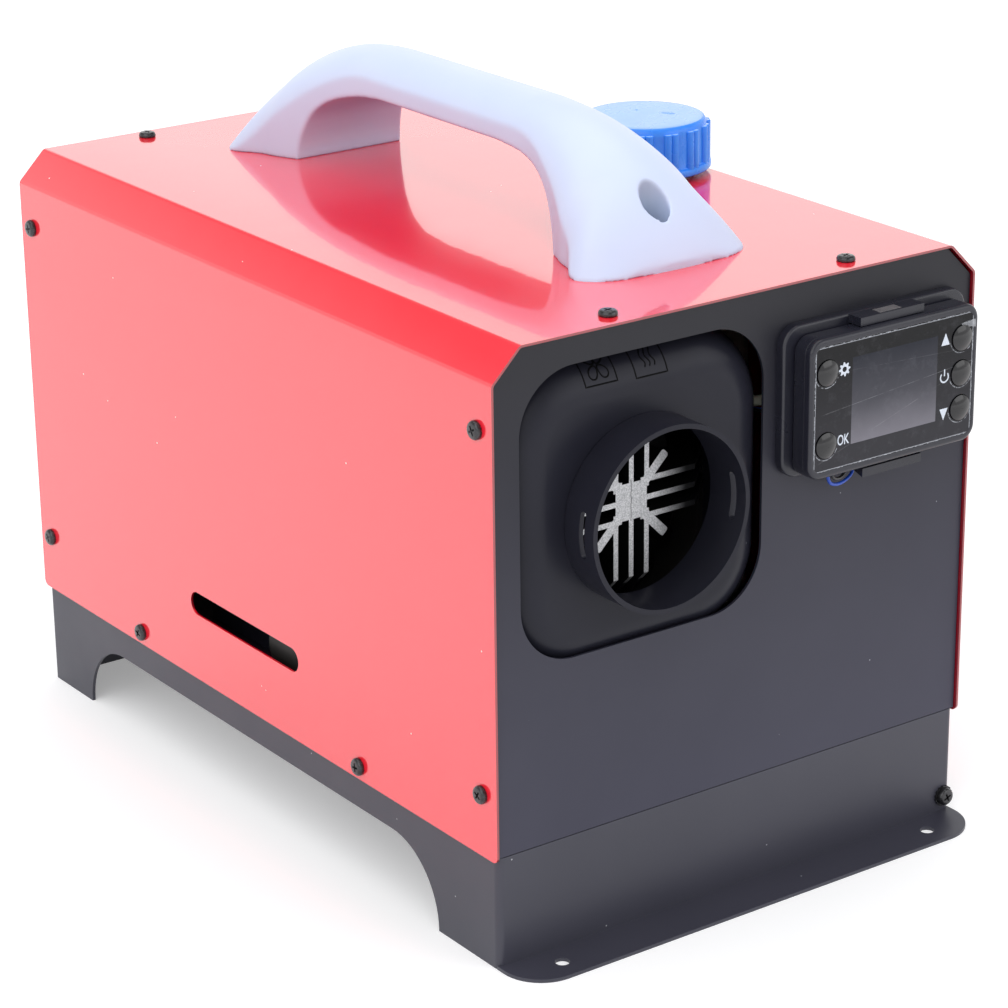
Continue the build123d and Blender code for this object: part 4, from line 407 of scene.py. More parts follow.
def makeGlass(look):
    material, tree, shader = newMaterial("controllerFilm")
    cx, cz = look["centre"]
    place = objectPlace(tree, (1000, 1000, 1000), (-cx, 0, -cz))   # millimetres from the middle
    spot = splitParts(tree, place)
    across, up = spot["X"], spot["Z"]
    rough = noise(tree, place, 0.55, 5, 0.7)

    # the display is darker above and paler below, like the print around it
    lcd = product(tree, within(tree, across, 0, look["lcdHalf"][0]),
                  within(tree, up, look["lcdRise"], look["lcdHalf"][1]))
    wander = product(tree, noise(tree, place, look["fadeScale"], 3), look["fadeWander"])
    height = spread(tree, calc(tree, "ADD", up, wander), 1, 0, *look["fade"])
    grey = ramp(tree, height, list(zip((0, 0.5, 1), look["lcdTones"])))
    dark = ramp(tree, height, list(zip((0, 1), look["printTones"])))
    colour = blendColours(tree, lcd, dark, grey)

    # long fine scratches, two of them right across the display
    for slope, rise, pale in look["scratches"]:
        level = calc(tree, "SUBTRACT", up, product(tree, across, slope))
        near = within(tree, level, rise, look["scratchHalf"])
        broken = spread(tree, noise(tree, place, 0.11, 4, 0.7), 0, pale, 0.42, 0.6)
        colour = blendColours(tree, product(tree, near, broken), colour, look["scratchTone"])
    haze = spread(tree, noise(tree, place, 0.16, 5, 0.75), 0, look["haze"], 0.52, 0.75)
    colour = blendColours(tree, haze, colour, look["hazeTone"])

    # frayed edge of the film, its hem, a torn arc over each button, and flecks
    edgeGap = calc(tree, "MINIMUM", *[calc(tree, "SUBTRACT", half, calc(tree, "ABSOLUTE", gap))
                                      for half, gap in zip(look["half"], (across, up))])
    ringGap = 9.0   # farther than any arc reaches
    drop, slant = look["ringTop"]
    for bx, bz in look["buttons"]:
        away = distance(tree, spot, bx - cx, bz - cz, "XZ")
        ring = calc(tree, "ABSOLUTE", calc(tree, "SUBTRACT", away, look["ringRadius"]))
        above = calc(tree, "MAXIMUM", calc(tree, "SUBTRACT", up, bz - cz - drop), 0.0)
        ringGap = calc(tree, "MINIMUM", ringGap, calc(tree, "ADD", ring, product(tree, above, slant)))
    fray = calc(tree, "ADD", edgeGap, spread(tree, rough, -0.22, 0.95, 0.33, 0.62))
    edge, soft = look["edgeWidth"], look["edgeSoft"]
    worn = spread(tree, fray, 1, 0, edge - soft, edge + soft)
    arcs = product(tree, calc(tree, "LESS_THAN", ringGap, look["ringHalf"]),
                   spread(tree, rough, 0, 0.75, 0.44, 0.56))
    hem = product(tree, within(tree, edgeGap, *look["hem"]), spread(tree, rough, 0.16, 0.8, 0.3, 0.6))
    flecks = calc(tree, "GREATER_THAN", noise(tree, place, look["fleckScale"], 2, 0.5), look["fleckShare"])
    for mark in (arcs, hem, product(tree, flecks, 0.5)):
        worn = calc(tree, "MAXIMUM", worn, mark)
    colour = blendColours(tree, worn, colour, look["edgeColour"])
    tree.links.new(colour, shader.inputs["Base Color"])
    tree.links.new(spread(tree, worn, *look["roughness"], 0, 1), shader.inputs["Roughness"])
    bump(tree, shader, calc(tree, "ADD", worn, noise(tree, place, 0.1, 2)), 0.12, 0.0003)
    setInputs(shader, {"Specular IOR Level": look["specular"]})
    return material


finishes["glass_black"] = makeGlass(glassLook)
print("finishes made:", len(finishes))


# every node gets the finish of its slot
slotFinish = {"zinc_steel": "zinc", "lcd": "icon_black", "line_plastic": "fuel_line",
              "blue_insulation": "blue_lead", "black_insulation": "black_lead"}
for name, node in nodes.items():
    node.data.materials.clear()
    node.data.materials.append(finishes[slotFinish.get(slotOf[name], slotOf[name])])


# mesh helpers

def linked(name, data):
    thing = bpy.data.objects.new(name, data)
    bpy.context.scene.collection.objects.link(thing)
    return thing


def toMesh(bm, name):
    mesh = bpy.data.meshes.new(name)
    bm.to_mesh(mesh)
    bm.free()
    return mesh


def workCopy(mesh):
    bm = bmesh.new()
    bm.from_mesh(mesh)
    return bm


# adds a mesh to one being built, and gives its vertices
def addMesh(bm, mesh):
    old = set(bm.verts)
    bm.from_mesh(mesh)
    return [v for v in bm.verts if v not in old]


# the mesh of a curve or a text
def solidMesh(name, data):
    holder = linked(name, data)
    mesh = bpy.data.meshes.new_from_object(holder)
    bpy.data.objects.remove(holder)
    return mesh


def finishPiece(bm, name, finish, body, replaced=(), angle=32):
    bmesh.ops.remove_doubles(bm, verts=bm.verts, dist=1e-6)
    mesh = toMesh(bm, name)
    mesh.shade_smooth()
    mesh.set_sharp_from_angle(angle=math.radians(angle))
    mesh.materials.append(finishes[finish])
    piece = linked(name, mesh)
    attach(piece, body)
    if replaced:
        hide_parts(*replaced)
    return piece


# a piece that stands for one CAD node, with its body and a finish
def nodePiece(bm, name, finish, node, angle=32):
    return finishPiece(bm, name, finish, bodyOf[node], [node], angle)


def moved(bm, verts, matrix):
    bmesh.ops.transform(bm, matrix=matrix, verts=verts)


def openEdges(bm):
    return [e for e in bm.edges if e.is_boundary]


def outward(bm):
    bmesh.ops.recalc_face_normals(bm, faces=bm.faces)


def turned(degrees, axis):
    return Matrix.Rotation(math.radians(degrees), 4, axis)


# from a shape drawn in millimetres to its place in the frame
def placedAt(*spot):
    return Matrix.Translation(Vector(spot) * mm) @ Matrix.Scale(mm, 4)


def facingFront(centre, back):
    return placedAt(centre[0], back, centre[1]) @ turned(90, "X")


def extruded(bm, faces, kind=bmesh.types.BMVert):
    made = bmesh.ops.extrude_face_region(bm, geom=faces)
    return [part for part in made["geom"] if isinstance(part, kind)]


# two corners out of four, all round
def toothCorners(verts, corners):
    def number(v):
        return int(round(math.atan2(v.co.y, v.co.x) / (2 * math.pi) * corners))
    return [v for v in verts if number(v) % 4 in (0, 1)]


def spinProfile(bm, points, steps):
    verts = [bm.verts.new((x, 0, z)) for x, z in points]
    edges = [bm.edges.new(pair) for pair in zip(verts, verts[1:])]
    bmesh.ops.spin(bm, geom=verts + edges, cent=(0, 0, 0), axis=(0, 0, 1), angle=2 * math.pi, steps=steps,
                   use_merge=True)


# the bracket's spring lip hangs a little clear of the case, in millimetres
lipLook = {"front": -178.6, "under": 174.0, "middle": 172.1, "topDrop": 1.5, "bottomDrop": 2.3}


def hangLip(bm, look):
    for v in bm.verts:
        if v.co.y < look["front"] * mm and v.co.z < look["under"] * mm:
            v.co.z -= (look["topDrop"] if v.co.z > look["middle"] * mm else look["bottomDrop"]) * mm


# nodes shown with their edges eased: piece, finish, width of the edge in millimetres, segments
easedPieces = {
    "outer_shell": ("shellSheet", "red_paint", 0.3, 2),
    "front_panel": ("frontSheet", "black_steel", 0.35, 2),
    "rear_panel": ("rearSheet", "black_steel", 0.35, 2),
    "base_tray": ("baseSheet", "tray_steel", 0.4, 2),
    "outlet_hood": ("hoodMoulding", "hood_plastic", 0.4, 2),
    "outlet_collar": ("collarRing", "hood_plastic", 0.45, 3),
    "heat_exchanger": ("exchangerCasting", "exchanger_metal", 0.4, 2),
    "controller_bracket": ("bracketMoulding", "black_plastic", 0.45, 2),
    "controller_case": ("controllerCase", "black_plastic", 0.5, 2),
    "inlet_hood": ("inletMoulding", "black_plastic", 0.5, 2),
    "intake_grille": ("inletGrille", "black_plastic", 0.3, 2),
    "power_gland": ("leadGland", "black_plastic", 0.4, 2),
}
easing = {"join": 3e-6, "flat": 0.4, "sharp": 34}   # metres, degrees, degrees


def easedCopy(name, pieceName, finish, width, segments):
    bm = workCopy(nodes[name].data)
    bmesh.ops.remove_doubles(bm, verts=bm.verts, dist=easing["join"])
    bmesh.ops.dissolve_limit(bm, angle_limit=math.radians(easing["flat"]), verts=bm.verts, edges=bm.edges)
    if name == "controller_bracket":
        hangLip(bm, lipLook)
    edge = nodePiece(bm, pieceName, finish, name).modifiers.new("easedEdges", "BEVEL")
    edge.width = width * mm
    edge.segments = segments
    edge.limit_method = "ANGLE"
    edge.angle_limit = math.radians(easing["sharp"])
    edge.harden_normals = True
    edge.use_clamp_overlap = True


for name, look in easedPieces.items():
    easedCopy(name, *look)
print("eased copies:", len(easedPieces))


# the pump's spring as a copy with a mesh of its own; the real one shortens against its fixed upper end as
# the plunger rises, which is not done here
def makeSpring():
    piece = nodePiece(workCopy(nodes["pump_spring"].data), "coilSpring", "spring_steel", "pump_spring", 60)
    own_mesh(piece)


makeSpring()

handleLook = {
    "voxel": 0.7, "rounds": 9, "factor": 0.5, "foot": 252.0, "footBand": 0.9,
    "toe": {"front": -134.6, "rear": 143.6, "swell": 0.9, "half": 20.0, "height": 5.0},
}


# the handle's own shape as one even moulded skin, its creases softened and its feet flat
def makeHandle(look):
    scratch = linked("handleScratch", nodes["carry_handle"].data.copy())
    skin = scratch.modifiers.new("evenSkin", "REMESH")
    skin.mode = "VOXEL"
    skin.voxel_size = look["voxel"] * mm
    graph = bpy.context.evaluated_depsgraph_get()
    bm = workCopy(bpy.data.meshes.new_from_object(scratch.evaluated_get(graph)))
    bpy.data.objects.remove(scratch)
    limit = (look["foot"] + look["footBand"]) * mm
    feet = [v for v in bm.verts if v.co.z < limit]
    upper = [v for v in bm.verts if v.co.z >= limit]
    for v in feet:
        if v.co.z < (look["foot"] + 0.5 * look["voxel"]) * mm:
            v.co.z = look["foot"] * mm
    toe = look["toe"]   # the feet end in one even curve
    for v in bm.verts:
        swell = 1 - (v.co.x / mm / toe["half"]) ** 2
        if swell > 0 and v.co.z < (look["foot"] + toe["height"]) * mm:
            v.co.y = max(v.co.y, (toe["front"] - toe["swell"] * swell) * mm)
            v.co.y = min(v.co.y, (toe["rear"] + toe["swell"] * swell) * mm)
    for step in range(look["rounds"]):
        for verts, upToo in ((upper, True), (feet, False)):
            bmesh.ops.smooth_vert(bm, verts=verts, factor=look["factor"], use_axis_x=True, use_axis_y=True,
                                  use_axis_z=upToo)
    nodePiece(bm, "handleBody", "handle_plastic", "carry_handle", 60)


makeHandle(handleLook)


# pan head screws with a cross recess and a threaded shank, in millimetres
screwLook = {
    "headRadius": 3.8, "headHeight": 2.3, "crossReach": 1.95, "crossHalf": 0.42, "crossDepth": 1.5,
    "crossTaper": 0.6, "shankRadius": 1.9, "shankLength": 8.0, "threadPitch": 1.0, "threadDepth": 0.25,
    "head": [(0.70, 0.99), (0.82, 0.93), (0.92, 0.78), (0.98, 0.55), (1, 0.28), (0.985, 0.08), (0.95, 0)],
    "steps": 28,
}


def crossMesh(look):
    h = look["headHeight"]
    cross = bmesh.new()
    bmesh.ops.create_grid(cross, x_segments=3, y_segments=3, size=3)
    for v in cross.verts:
        for i in (0, 1):
            v.co[i] = math.copysign(look["crossReach"] if abs(v.co[i]) > 2 else look["crossHalf"], v.co[i])
        v.co.z = h
    centres = {f: f.calc_center_median() for f in cross.faces}
    corners = [f for f, centre in centres.items() if min(abs(centre.x), abs(centre.y)) > 0.6]
    bmesh.ops.delete(cross, geom=corners, context="FACES")
    for v in extruded(cross, cross.faces[:]):
        v.co = Vector((v.co.x * look["crossTaper"], v.co.y * look["crossTaper"], h - look["crossDepth"]))
    lid = [f for f in cross.faces if f.calc_center_median().z > h - 1e-4]
    bmesh.ops.delete(cross, geom=lid, context="FACES_ONLY")
    return toMesh(cross, "crossRecess")


def screwMesh(look):
    bm = bmesh.new()
    r, h, s, pitch = look["headRadius"], look["headHeight"], look["shankRadius"], look["threadPitch"]
    profile = [(r * x, h * z) for x, z in look["head"]] + [(s, 0)]
    for turn in range(int((look["shankLength"] - 1.2) / pitch)):
        z = -0.4 - turn * pitch
        profile += [(s - look["threadDepth"], z), (s, z - 0.5 * pitch)]
    profile += [(s - 0.6, -look["shankLength"] + 0.3), (0.01, -look["shankLength"])]
    spinProfile(bm, profile, look["steps"])
    bmesh.ops.remove_doubles(bm, verts=bm.verts, dist=1e-4)
    ring = [e for e in openEdges(bm) if e.verts[0].co.z > h * 0.9]
    bm.from_mesh(crossMesh(look))
    rim = [e for e in openEdges(bm) if e not in ring and min(v.co.z for v in e.verts) > h - 1e-4]
    bmesh.ops.bridge_loops(bm, edges=ring + rim)
    outward(bm)
    return toMesh(bm, "screwShape")


screwShape = screwMesh(screwLook)


def placeScrew(bm, at, outward):
    turn = Vector((0, 0, 1)).rotation_difference(Vector(outward)).to_matrix().to_4x4()
    spin = Matrix.Rotation(rng.uniform(0, math.pi), 4, "Z")
    moved(bm, addMesh(bm, screwShape), placedAt(*at) @ turn @ spin)


caseScrewsLook = {
    "front": -174.5, "halfWidth": 119.0, "top": 252.0, "roofX": 58.5, "roofDepths": (8.2, 349.8),
    "side": [(8.2, 72.8), (8.2, 219.8), (349.8, 72.8), (349.8, 219.8), (94, 52.4), (269, 52.4)],
}


def makeCaseScrews(look):
    bm = bmesh.new()
    for side in (-1, 1):
        for depth, height in look["side"]:
            placeScrew(bm, (side * look["halfWidth"], look["front"] + depth, height), (side, 0, 0))
        for depth in look["roofDepths"]:
            placeScrew(bm, (side * look["roofX"], look["front"] + depth, look["top"]), (0, 0, 1))
    nodePiece(bm, "caseScrews", "black_screw", "shell_screws", 40)


makeCaseScrews(caseScrewsLook)

washerLook = {"at": (113.5, -174.5, 8.3), "radius": 4.6, "thickness": 1.0, "teeth": 14, "toothDepth": 0.93}


# earth screw over a toothed washer
def makeEarthScrew(look):
    bm = bmesh.new()
    x, y, z = look["at"]
    placeScrew(bm, (x, y - look["thickness"], z), (0, -1, 0))
    ring = bmesh.new()
    corners = look["teeth"] * 4
    bmesh.ops.create_circle(ring, segments=corners, radius=look["radius"], cap_ends=True)
    for v in toothCorners(ring.verts, corners):
        v.co *= look["toothDepth"]
    bmesh.ops.translate(ring, vec=(0, 0, look["thickness"]), verts=extruded(ring, ring.faces[:]))
    outward(ring)
    moved(bm, addMesh(bm, toMesh(ring, "washerShape")), facingFront((x, z), y))
    nodePiece(bm, "earthScrew", "black_screw", "ground_screw", 40)


makeEarthScrew(washerLook)
print("screws placed")


# fuel cap with twin ribs, a moulding point and a small opening arrow
capLook = {
    "centre": (81.0, -9.0), "foot": 254.5, "height": 22.0, "radius": 27.15, "rim": 29.2, "rimHeight": 3.4,
    "bore": 21.6, "ceiling": 19.0, "lid": 25.7, "steps": 180,
    "pads": 15, "padTurn": 17.8, "ribRadius": 1.95, "ribGap": 1.6, "ribTop": 18.7, "ribInset": 0.25,
    "dot": (2.8, 8.4), "arrow": {"at": (9.8, -4.9), "turn": -62, "length": 6.4, "width": 3.2},
}


def makeCap(look):
    r, rim, h, lid = look["radius"], look["rim"], look["height"], look["lid"]
    low, bore, ceiling = look["rimHeight"], look["bore"], look["ceiling"]
    bm = bmesh.new()
    spinProfile(bm, [
        (0.02, h), (lid * 0.5, h - 0.01), (lid * 0.85, h - 0.05), (lid - 0.5, h - 0.12), (lid, h - 0.3),
        (lid + 0.5, h - 0.78), (lid + 0.9, h - 1.4), (r - 0.25, h - 2.2), (r - 0.06, h - 3.1), (r, h - 4.2),
        (r + 0.05, low + 0.6), (r + 0.35, low + 0.15), (rim - 0.8, low - 0.1), (rim - 0.25, low - 0.6),
        (rim, low * 0.5), (rim - 0.1, 0.5), (rim - 0.6, 0), (bore + 0.5, 0), (bore, 0.5),
        (bore, ceiling - 0.5), (bore - 0.5, ceiling), (0.02, ceiling)], look["steps"])
    bmesh.ops.remove_doubles(bm, verts=bm.verts, dist=0.03)
    length = look["ribTop"] - low + 1.2
    for pad in range(look["pads"]):
        middle = math.radians(look["padTurn"]) + 2 * math.pi * pad / look["pads"]
        for side in (-1, 1):
            rib = bmesh.ops.create_cone(bm, cap_ends=True, segments=16, radius1=look["ribRadius"],
                                        radius2=look["ribRadius"] * 0.97, depth=length)
            top = [v for v in rib["verts"] if v.co.z > 0]
            lip = [e for v in top for e in v.link_edges if all(w.co.z > 0 for w in e.verts)]
            lip = list(dict.fromkeys(lip))   # each once, in an order that never changes
            eased = bmesh.ops.bevel(bm, geom=lip, offset=0.4, segments=3, profile=0.5, affect="EDGES",
                                    material=-1)
            spot = Vector((r - look["ribInset"], side * look["ribGap"], low - 0.6 + length / 2))
            whole = [v for v in dict.fromkeys(rib["verts"] + eased["verts"]) if v.is_valid]
            moved(bm, whole, Matrix.Rotation(middle, 4, "Z") @ Matrix.Translation(spot))
    moved(bm, bm.verts[:], placedAt(*look["centre"], look["foot"]))
    outward(bm)
    nodePiece(bm, "capMoulding", "cap_plastic", "fuel_cap", 38)


def makeLidMarks(look):
    bm = bmesh.new()
    dot = bmesh.ops.create_cone(bm, cap_ends=True, segments=20, radius1=0.85, radius2=0.5, depth=0.2)
    moved(bm, dot["verts"], Matrix.Translation((*look["dot"], 0.06)))
    arrow = look["arrow"]
    place = Matrix.Translation((*arrow["at"], 0.05)) @ turned(arrow["turn"], "Z")
    tall, wide = arrow["length"] / 2, arrow["width"]
    for segments, along, size, turn in ((4, -0.45, (0.75, 0.36), 45), (3, 0.45, (0.5, 0.62), -90)):
        part = bmesh.ops.create_cone(bm, cap_ends=True, segments=segments, radius1=1.0, radius2=0.9,
                                     depth=0.2)
        moved(bm, part["verts"], place @ Matrix.Translation((tall * along, 0, 0))
              @ Matrix.Diagonal((tall * size[0], wide * size[1], 1, 1)) @ turned(turn, "Z"))
    moved(bm, bm.verts[:], placedAt(*look["centre"], look["foot"] + look["height"] - 0.03))
    outward(bm)
    finishPiece(bm, "capMarks", "cap_mark", bodyOf["fuel_cap"])


makeCap(capLook)
makeLidMarks(capLook)
print("cap made")


# the controller's bezel: a rounded frame whose lip steps inward by rings of (amount, rise)
bezelLook = {
    "centre": (65.7, 202.4), "width": 87.6, "height": 57.2, "corner": 6.5, "back": -185.5,
    "holeHeight": 51.0, "wall": 2.05, "inside": -2.4,
    "rings": [(0.12, 0.55), (0.28, 0.45), (0.42, 0.28), (0.5, 0.14), (0.45, 0.0), (0.4, -0.04),
              (0.2, -0.10), (0.1, -0.15), (0.08, -0.10)],
}


def pullFace(bm, face, rise):
    top = extruded(bm, [face], bmesh.types.BMFace)[0]
    bmesh.ops.delete(bm, geom=[face], context="FACES_ONLY")
    bmesh.ops.translate(bm, vec=(0, 0, rise), verts=top.verts[:])
    return top


def makeBezel(look):
    bm = bmesh.new()
    height = look["height"]
    sheet = bmesh.ops.create_grid(bm, x_segments=1, y_segments=1, size=0.5)
    moved(bm, sheet["verts"], Matrix.Diagonal((look["width"], height, 1, 1)))
    bmesh.ops.bevel(bm, geom=sheet["verts"], offset=look["corner"], segments=8, profile=0.5,
                    affect="VERTICES", material=-1)
    bm.faces.ensure_lookup_table()
    face = pullFace(bm, bm.faces[0], look["wall"])
    whole = sum(amount for amount, rise in look["rings"])
    half, done = height / 2, 0.0
    for amount, rise in look["rings"]:
        bmesh.ops.inset_region(bm, faces=[face], thickness=amount, depth=0, use_even_offset=True)
        bmesh.ops.translate(bm, vec=(0, 0, rise), verts=face.verts[:])
        done += amount / whole
        wanted = height / 2 - done * (height - look["holeHeight"]) / 2
        moved(bm, face.verts[:], Matrix.Diagonal((1, wanted / (half - amount), 1, 1)))
        half = wanted
    face = pullFace(bm, face, look["inside"])
    bmesh.ops.delete(bm, geom=[face], context="FACES_ONLY")
    bmesh.ops.bridge_loops(bm, edges=openEdges(bm))
    moved(bm, bm.verts[:], facingFront(look["centre"], look["back"]))
    outward(bm)
    nodePiece(bm, "controllerBezel", "black_plastic", "controller_bezel", 50)


makeBezel(bezelLook)

# the two leads hang in a small loop under the controller, then run through the panel to the casing
leadLook = {
    "radius": 0.7, "grommet": (48.0, 185.2), "entry": [(-176.3, -0.6), (-172, 0)],
    "inside": [(-140.5, 0), (-104.5, -28.0), (72.0, -28.0)], "end": 11.2,
}
leads = {
    "blueLead": {"node": "blue_wire", "finish": "blue_lead", "shift": 1.1,
                 "loop": [(37.5, -182, 176.5), (37.6, -182, 171), (40.2, -181.6, 166.9),
                          (48.5, -179.4, 165.5), (56.2, -177.5, 168.6), (53.2, -176.6, 175.5),
                          (49.5, -176.5, 181.5)]},
    "blackLead": {"node": "black_wire", "finish": "black_lead", "shift": -1.1,
                  "loop": [(39.7, -182, 176.5), (39.8, -181.9, 172), (42.0, -181.2, 168.9),
                           (48.0, -179.0, 167.7), (52.3, -177.3, 170.5), (50.4, -176.5, 176.5),
                           (47.2, -176.4, 182)]},
}


def curveMesh(name, points, radius, rounds, kind="POLY", closed=False):
    curve = bpy.data.curves.new(name, "CURVE")
    curve.dimensions = "3D"
    curve.bevel_depth = radius
    curve.bevel_resolution = rounds
    line = curve.splines.new(kind)
    line.points.add(len(points) - 1)
    for point, place in zip(line.points, points):
        point.co = (*place, 1)
    line.use_cyclic_u = closed
    if kind == "NURBS":
        line.order_u = 3
        line.use_endpoint_u = True
        line.resolution_u = 10
    return solidMesh(name, curve)


def makeLead(name, lead, look):
    shift = lead["shift"]
    x, z = look["grommet"][0] + shift, look["grommet"][1]
    points = lead["loop"] + [(x, y, z + dip) for y, dip in look["entry"]]
    points += [(x + dx, y + (shift if y > 0 else 0), z) for y, dx in look["inside"]]
    points.append((look["end"], points[-1][1], z))
    route = [Vector(point) * mm for point in points]
    bm = workCopy(curveMesh(name + "Route", route, look["radius"] * mm, 4, "NURBS"))
    bmesh.ops.holes_fill(bm, edges=openEdges(bm), sides=0)
    outward(bm)
    nodePiece(bm, name, lead["finish"], lead["node"], 50)


for name, lead in leads.items():
    makeLead(name, lead, leadLook)

marksLook = {
    "face": -188.8, "depth": 0.08, "sunk": 0.02, "arrowTall": 1.3,
    "gear": {"at": (39.3, 217.0), "radius": 2.05, "hole": 1.1, "corners": 32, "tooth": 1.42},
    "up": {"at": (92.0, 218.0), "size": 2.55, "turn": 0},
    "down": {"at": (92.2, 188.2), "size": 2.5, "turn": -180},
    "power": {"at": (92.1, 203.0), "radius": 2.1, "line": 0.33, "gap": 48, "stem": (0.5, 3.3),
              "flat": 0.25},
    "ok": {"at": (39.4, 188.0), "size": 6.0, "bold": 0.06, "narrow": 0.68},
}


def addFlat(target, flat, at, look):
    bmesh.ops.solidify(flat, geom=flat.faces[:], thickness=look["depth"])
    lowest = min(v.co.z for v in flat.verts)
    bmesh.ops.translate(flat, vec=(0, 0, -lowest - look["sunk"]), verts=flat.verts)
    moved(flat, flat.verts[:], facingFront(at, look["face"]))
    target.from_mesh(toMesh(flat, "mark"))


def addArrow(bm, arrow, look):
    flat = bmesh.new()
    bmesh.ops.create_circle(flat, segments=3, radius=arrow["size"], cap_ends=True,
                            matrix=turned(arrow["turn"], "Z"))
    moved(flat, flat.verts[:], Matrix.Diagonal((1.0, look["arrowTall"], 1, 1)))
    addFlat(bm, flat, arrow["at"], look)


def addGear(bm, gear, look):
    flat = bmesh.new()
    bmesh.ops.create_circle(flat, segments=gear["corners"], radius=gear["radius"], cap_ends=True)
    bmesh.ops.inset_region(flat, faces=flat.faces[:], thickness=gear["radius"] - gear["hole"],
                           use_boundary=True, use_even_offset=True)
    hole = min(flat.faces, key=lambda f: f.calc_center_median().length)
    bmesh.ops.delete(flat, geom=[hole], context="FACES")
    rim = [v for v in flat.verts if v.co.length > gear["radius"] * 0.9]
    for v in toothCorners(rim, gear["corners"]):
        v.co *= gear["tooth"]
    addFlat(bm, flat, gear["at"], look)


def addPower(bm, power, look):
    turns = [math.radians(power["gap"] + (360 - 2 * power["gap"]) * k / 28) for k in range(29)]
    arc = [(power["radius"] * math.sin(a), power["radius"] * math.cos(a), 0) for a in turns]
    place = facingFront(power["at"], look["face"] + 0.01) @ Matrix.Diagonal((1, 1, power["flat"], 1))
    for points in (arc, [(0, y, 0) for y in power["stem"]]):
        moved(bm, addMesh(bm, curveMesh("stroke", points, power["line"], 2)), place)


def addOk(bm, ok, look):
    text = bpy.data.curves.new("okText", "FONT")
    text.body = "OK"
    text.size = ok["size"]
    text.align_x = "CENTER"
    text.align_y = "CENTER"
    text.offset = ok["bold"]
    text.resolution_u = 6
    flat = workCopy(solidMesh("okText", text))
    bmesh.ops.remove_doubles(flat, verts=flat.verts, dist=1e-4)
    moved(flat, flat.verts[:], Matrix.Diagonal((ok["narrow"], 1.0, 1, 1)))
    addFlat(bm, flat, ok["at"], look)


def makeMarks(look):
    bm = bmesh.new()
    addArrow(bm, look["up"], look)
    addArrow(bm, look["down"], look)
    addGear(bm, look["gear"], look)
    addPower(bm, look["power"], look)
    addOk(bm, look["ok"], look)
    outward(bm)
    finishPiece(bm, "controllerMarks", "print_white", "case")


makeMarks(marksLook)

clipLook = {"at": (66.5, -182.0, 234.15), "size": (11.3, 4.8, 0.7), "easing": 0.25, "dish": (0.5, -0.12)}


# the pale rubber insert in the bracket's spring clip
def makeClipInsert(look):
    bm = bmesh.new()
    bmesh.ops.create_cube(bm, size=1)
    moved(bm, bm.verts[:], Matrix.Diagonal((*look["size"], 1)))
    bmesh.ops.bevel(bm, geom=bm.edges[:], offset=look["easing"], segments=2, profile=0.5, affect="EDGES",
                    material=-1)
    top = [f for f in bm.faces if f.normal.z > 0.9]
    bmesh.ops.inset_region(bm, faces=top, thickness=look["dish"][0], depth=look["dish"][1],
                           use_even_offset=True)
    x, y, z = look["at"]
    moved(bm, bm.verts[:], placedAt(x, y, z + look["size"][2] / 2))
    finishPiece(bm, "clipInsert", "clip_grey", "case")


makeClipInsert(clipLook)

filmLook = {"corner": (107.2, 224.6), "reach": 7.0, "drop": 3.2, "lift": 1.6, "face": -188.9}


# the protective film, come loose at the top right corner
def makeFilmCorner(look):
    bm = bmesh.new()
    bmesh.ops.create_grid(bm, x_segments=14, y_segments=9, size=0.5)
    for v in bm.verts:
        across, down = v.co.x + 0.5, 0.5 - v.co.y
        curl = look["lift"] * max(0.0, across - 0.35 * down) ** 2 * (1 - 0.75 * (1 - down) ** 2)
        x = look["corner"][0] - look["reach"] * (1 - across) * (1 - 0.12 * down)
        z = look["corner"][1] - look["drop"] * down * (0.45 + 0.55 * across) - 0.8 * (1 - across)
        v.co = Vector((x * mm, (look["face"] - curl) * mm, z * mm))
    outward(bm)
    finishPiece(bm, "filmCorner", "film_white", "case")


makeFilmCorner(filmLook)

# fan and heat marks on the hood's upper slope, raised from its own surface
hoodData = nodes["outlet_hood"].data
hoodTree = BVHTree.FromPolygons([v.co[:] for v in hoodData.vertices],
                                [p.vertices[:] for p in hoodData.polygons])
hoodMarksLook = {
    "fan": (-66.0, 234.6), "heat": (-42.6, 233.6), "size": (14.8, 12.8), "line": 0.3, "from": -0.19,
    "offHood": -0.1739,
    "blades": 4, "bladeReach": 3.1, "bladeLong": 2.45, "bladeWide": 1.75, "bladeSwell": 0.3,
    "waves": (-2.3, 0, 2.3), "waveSwing": 0.6, "waveHalf": 3.2, "waveTurns": 2.6, "waveThin": 0.9,
}


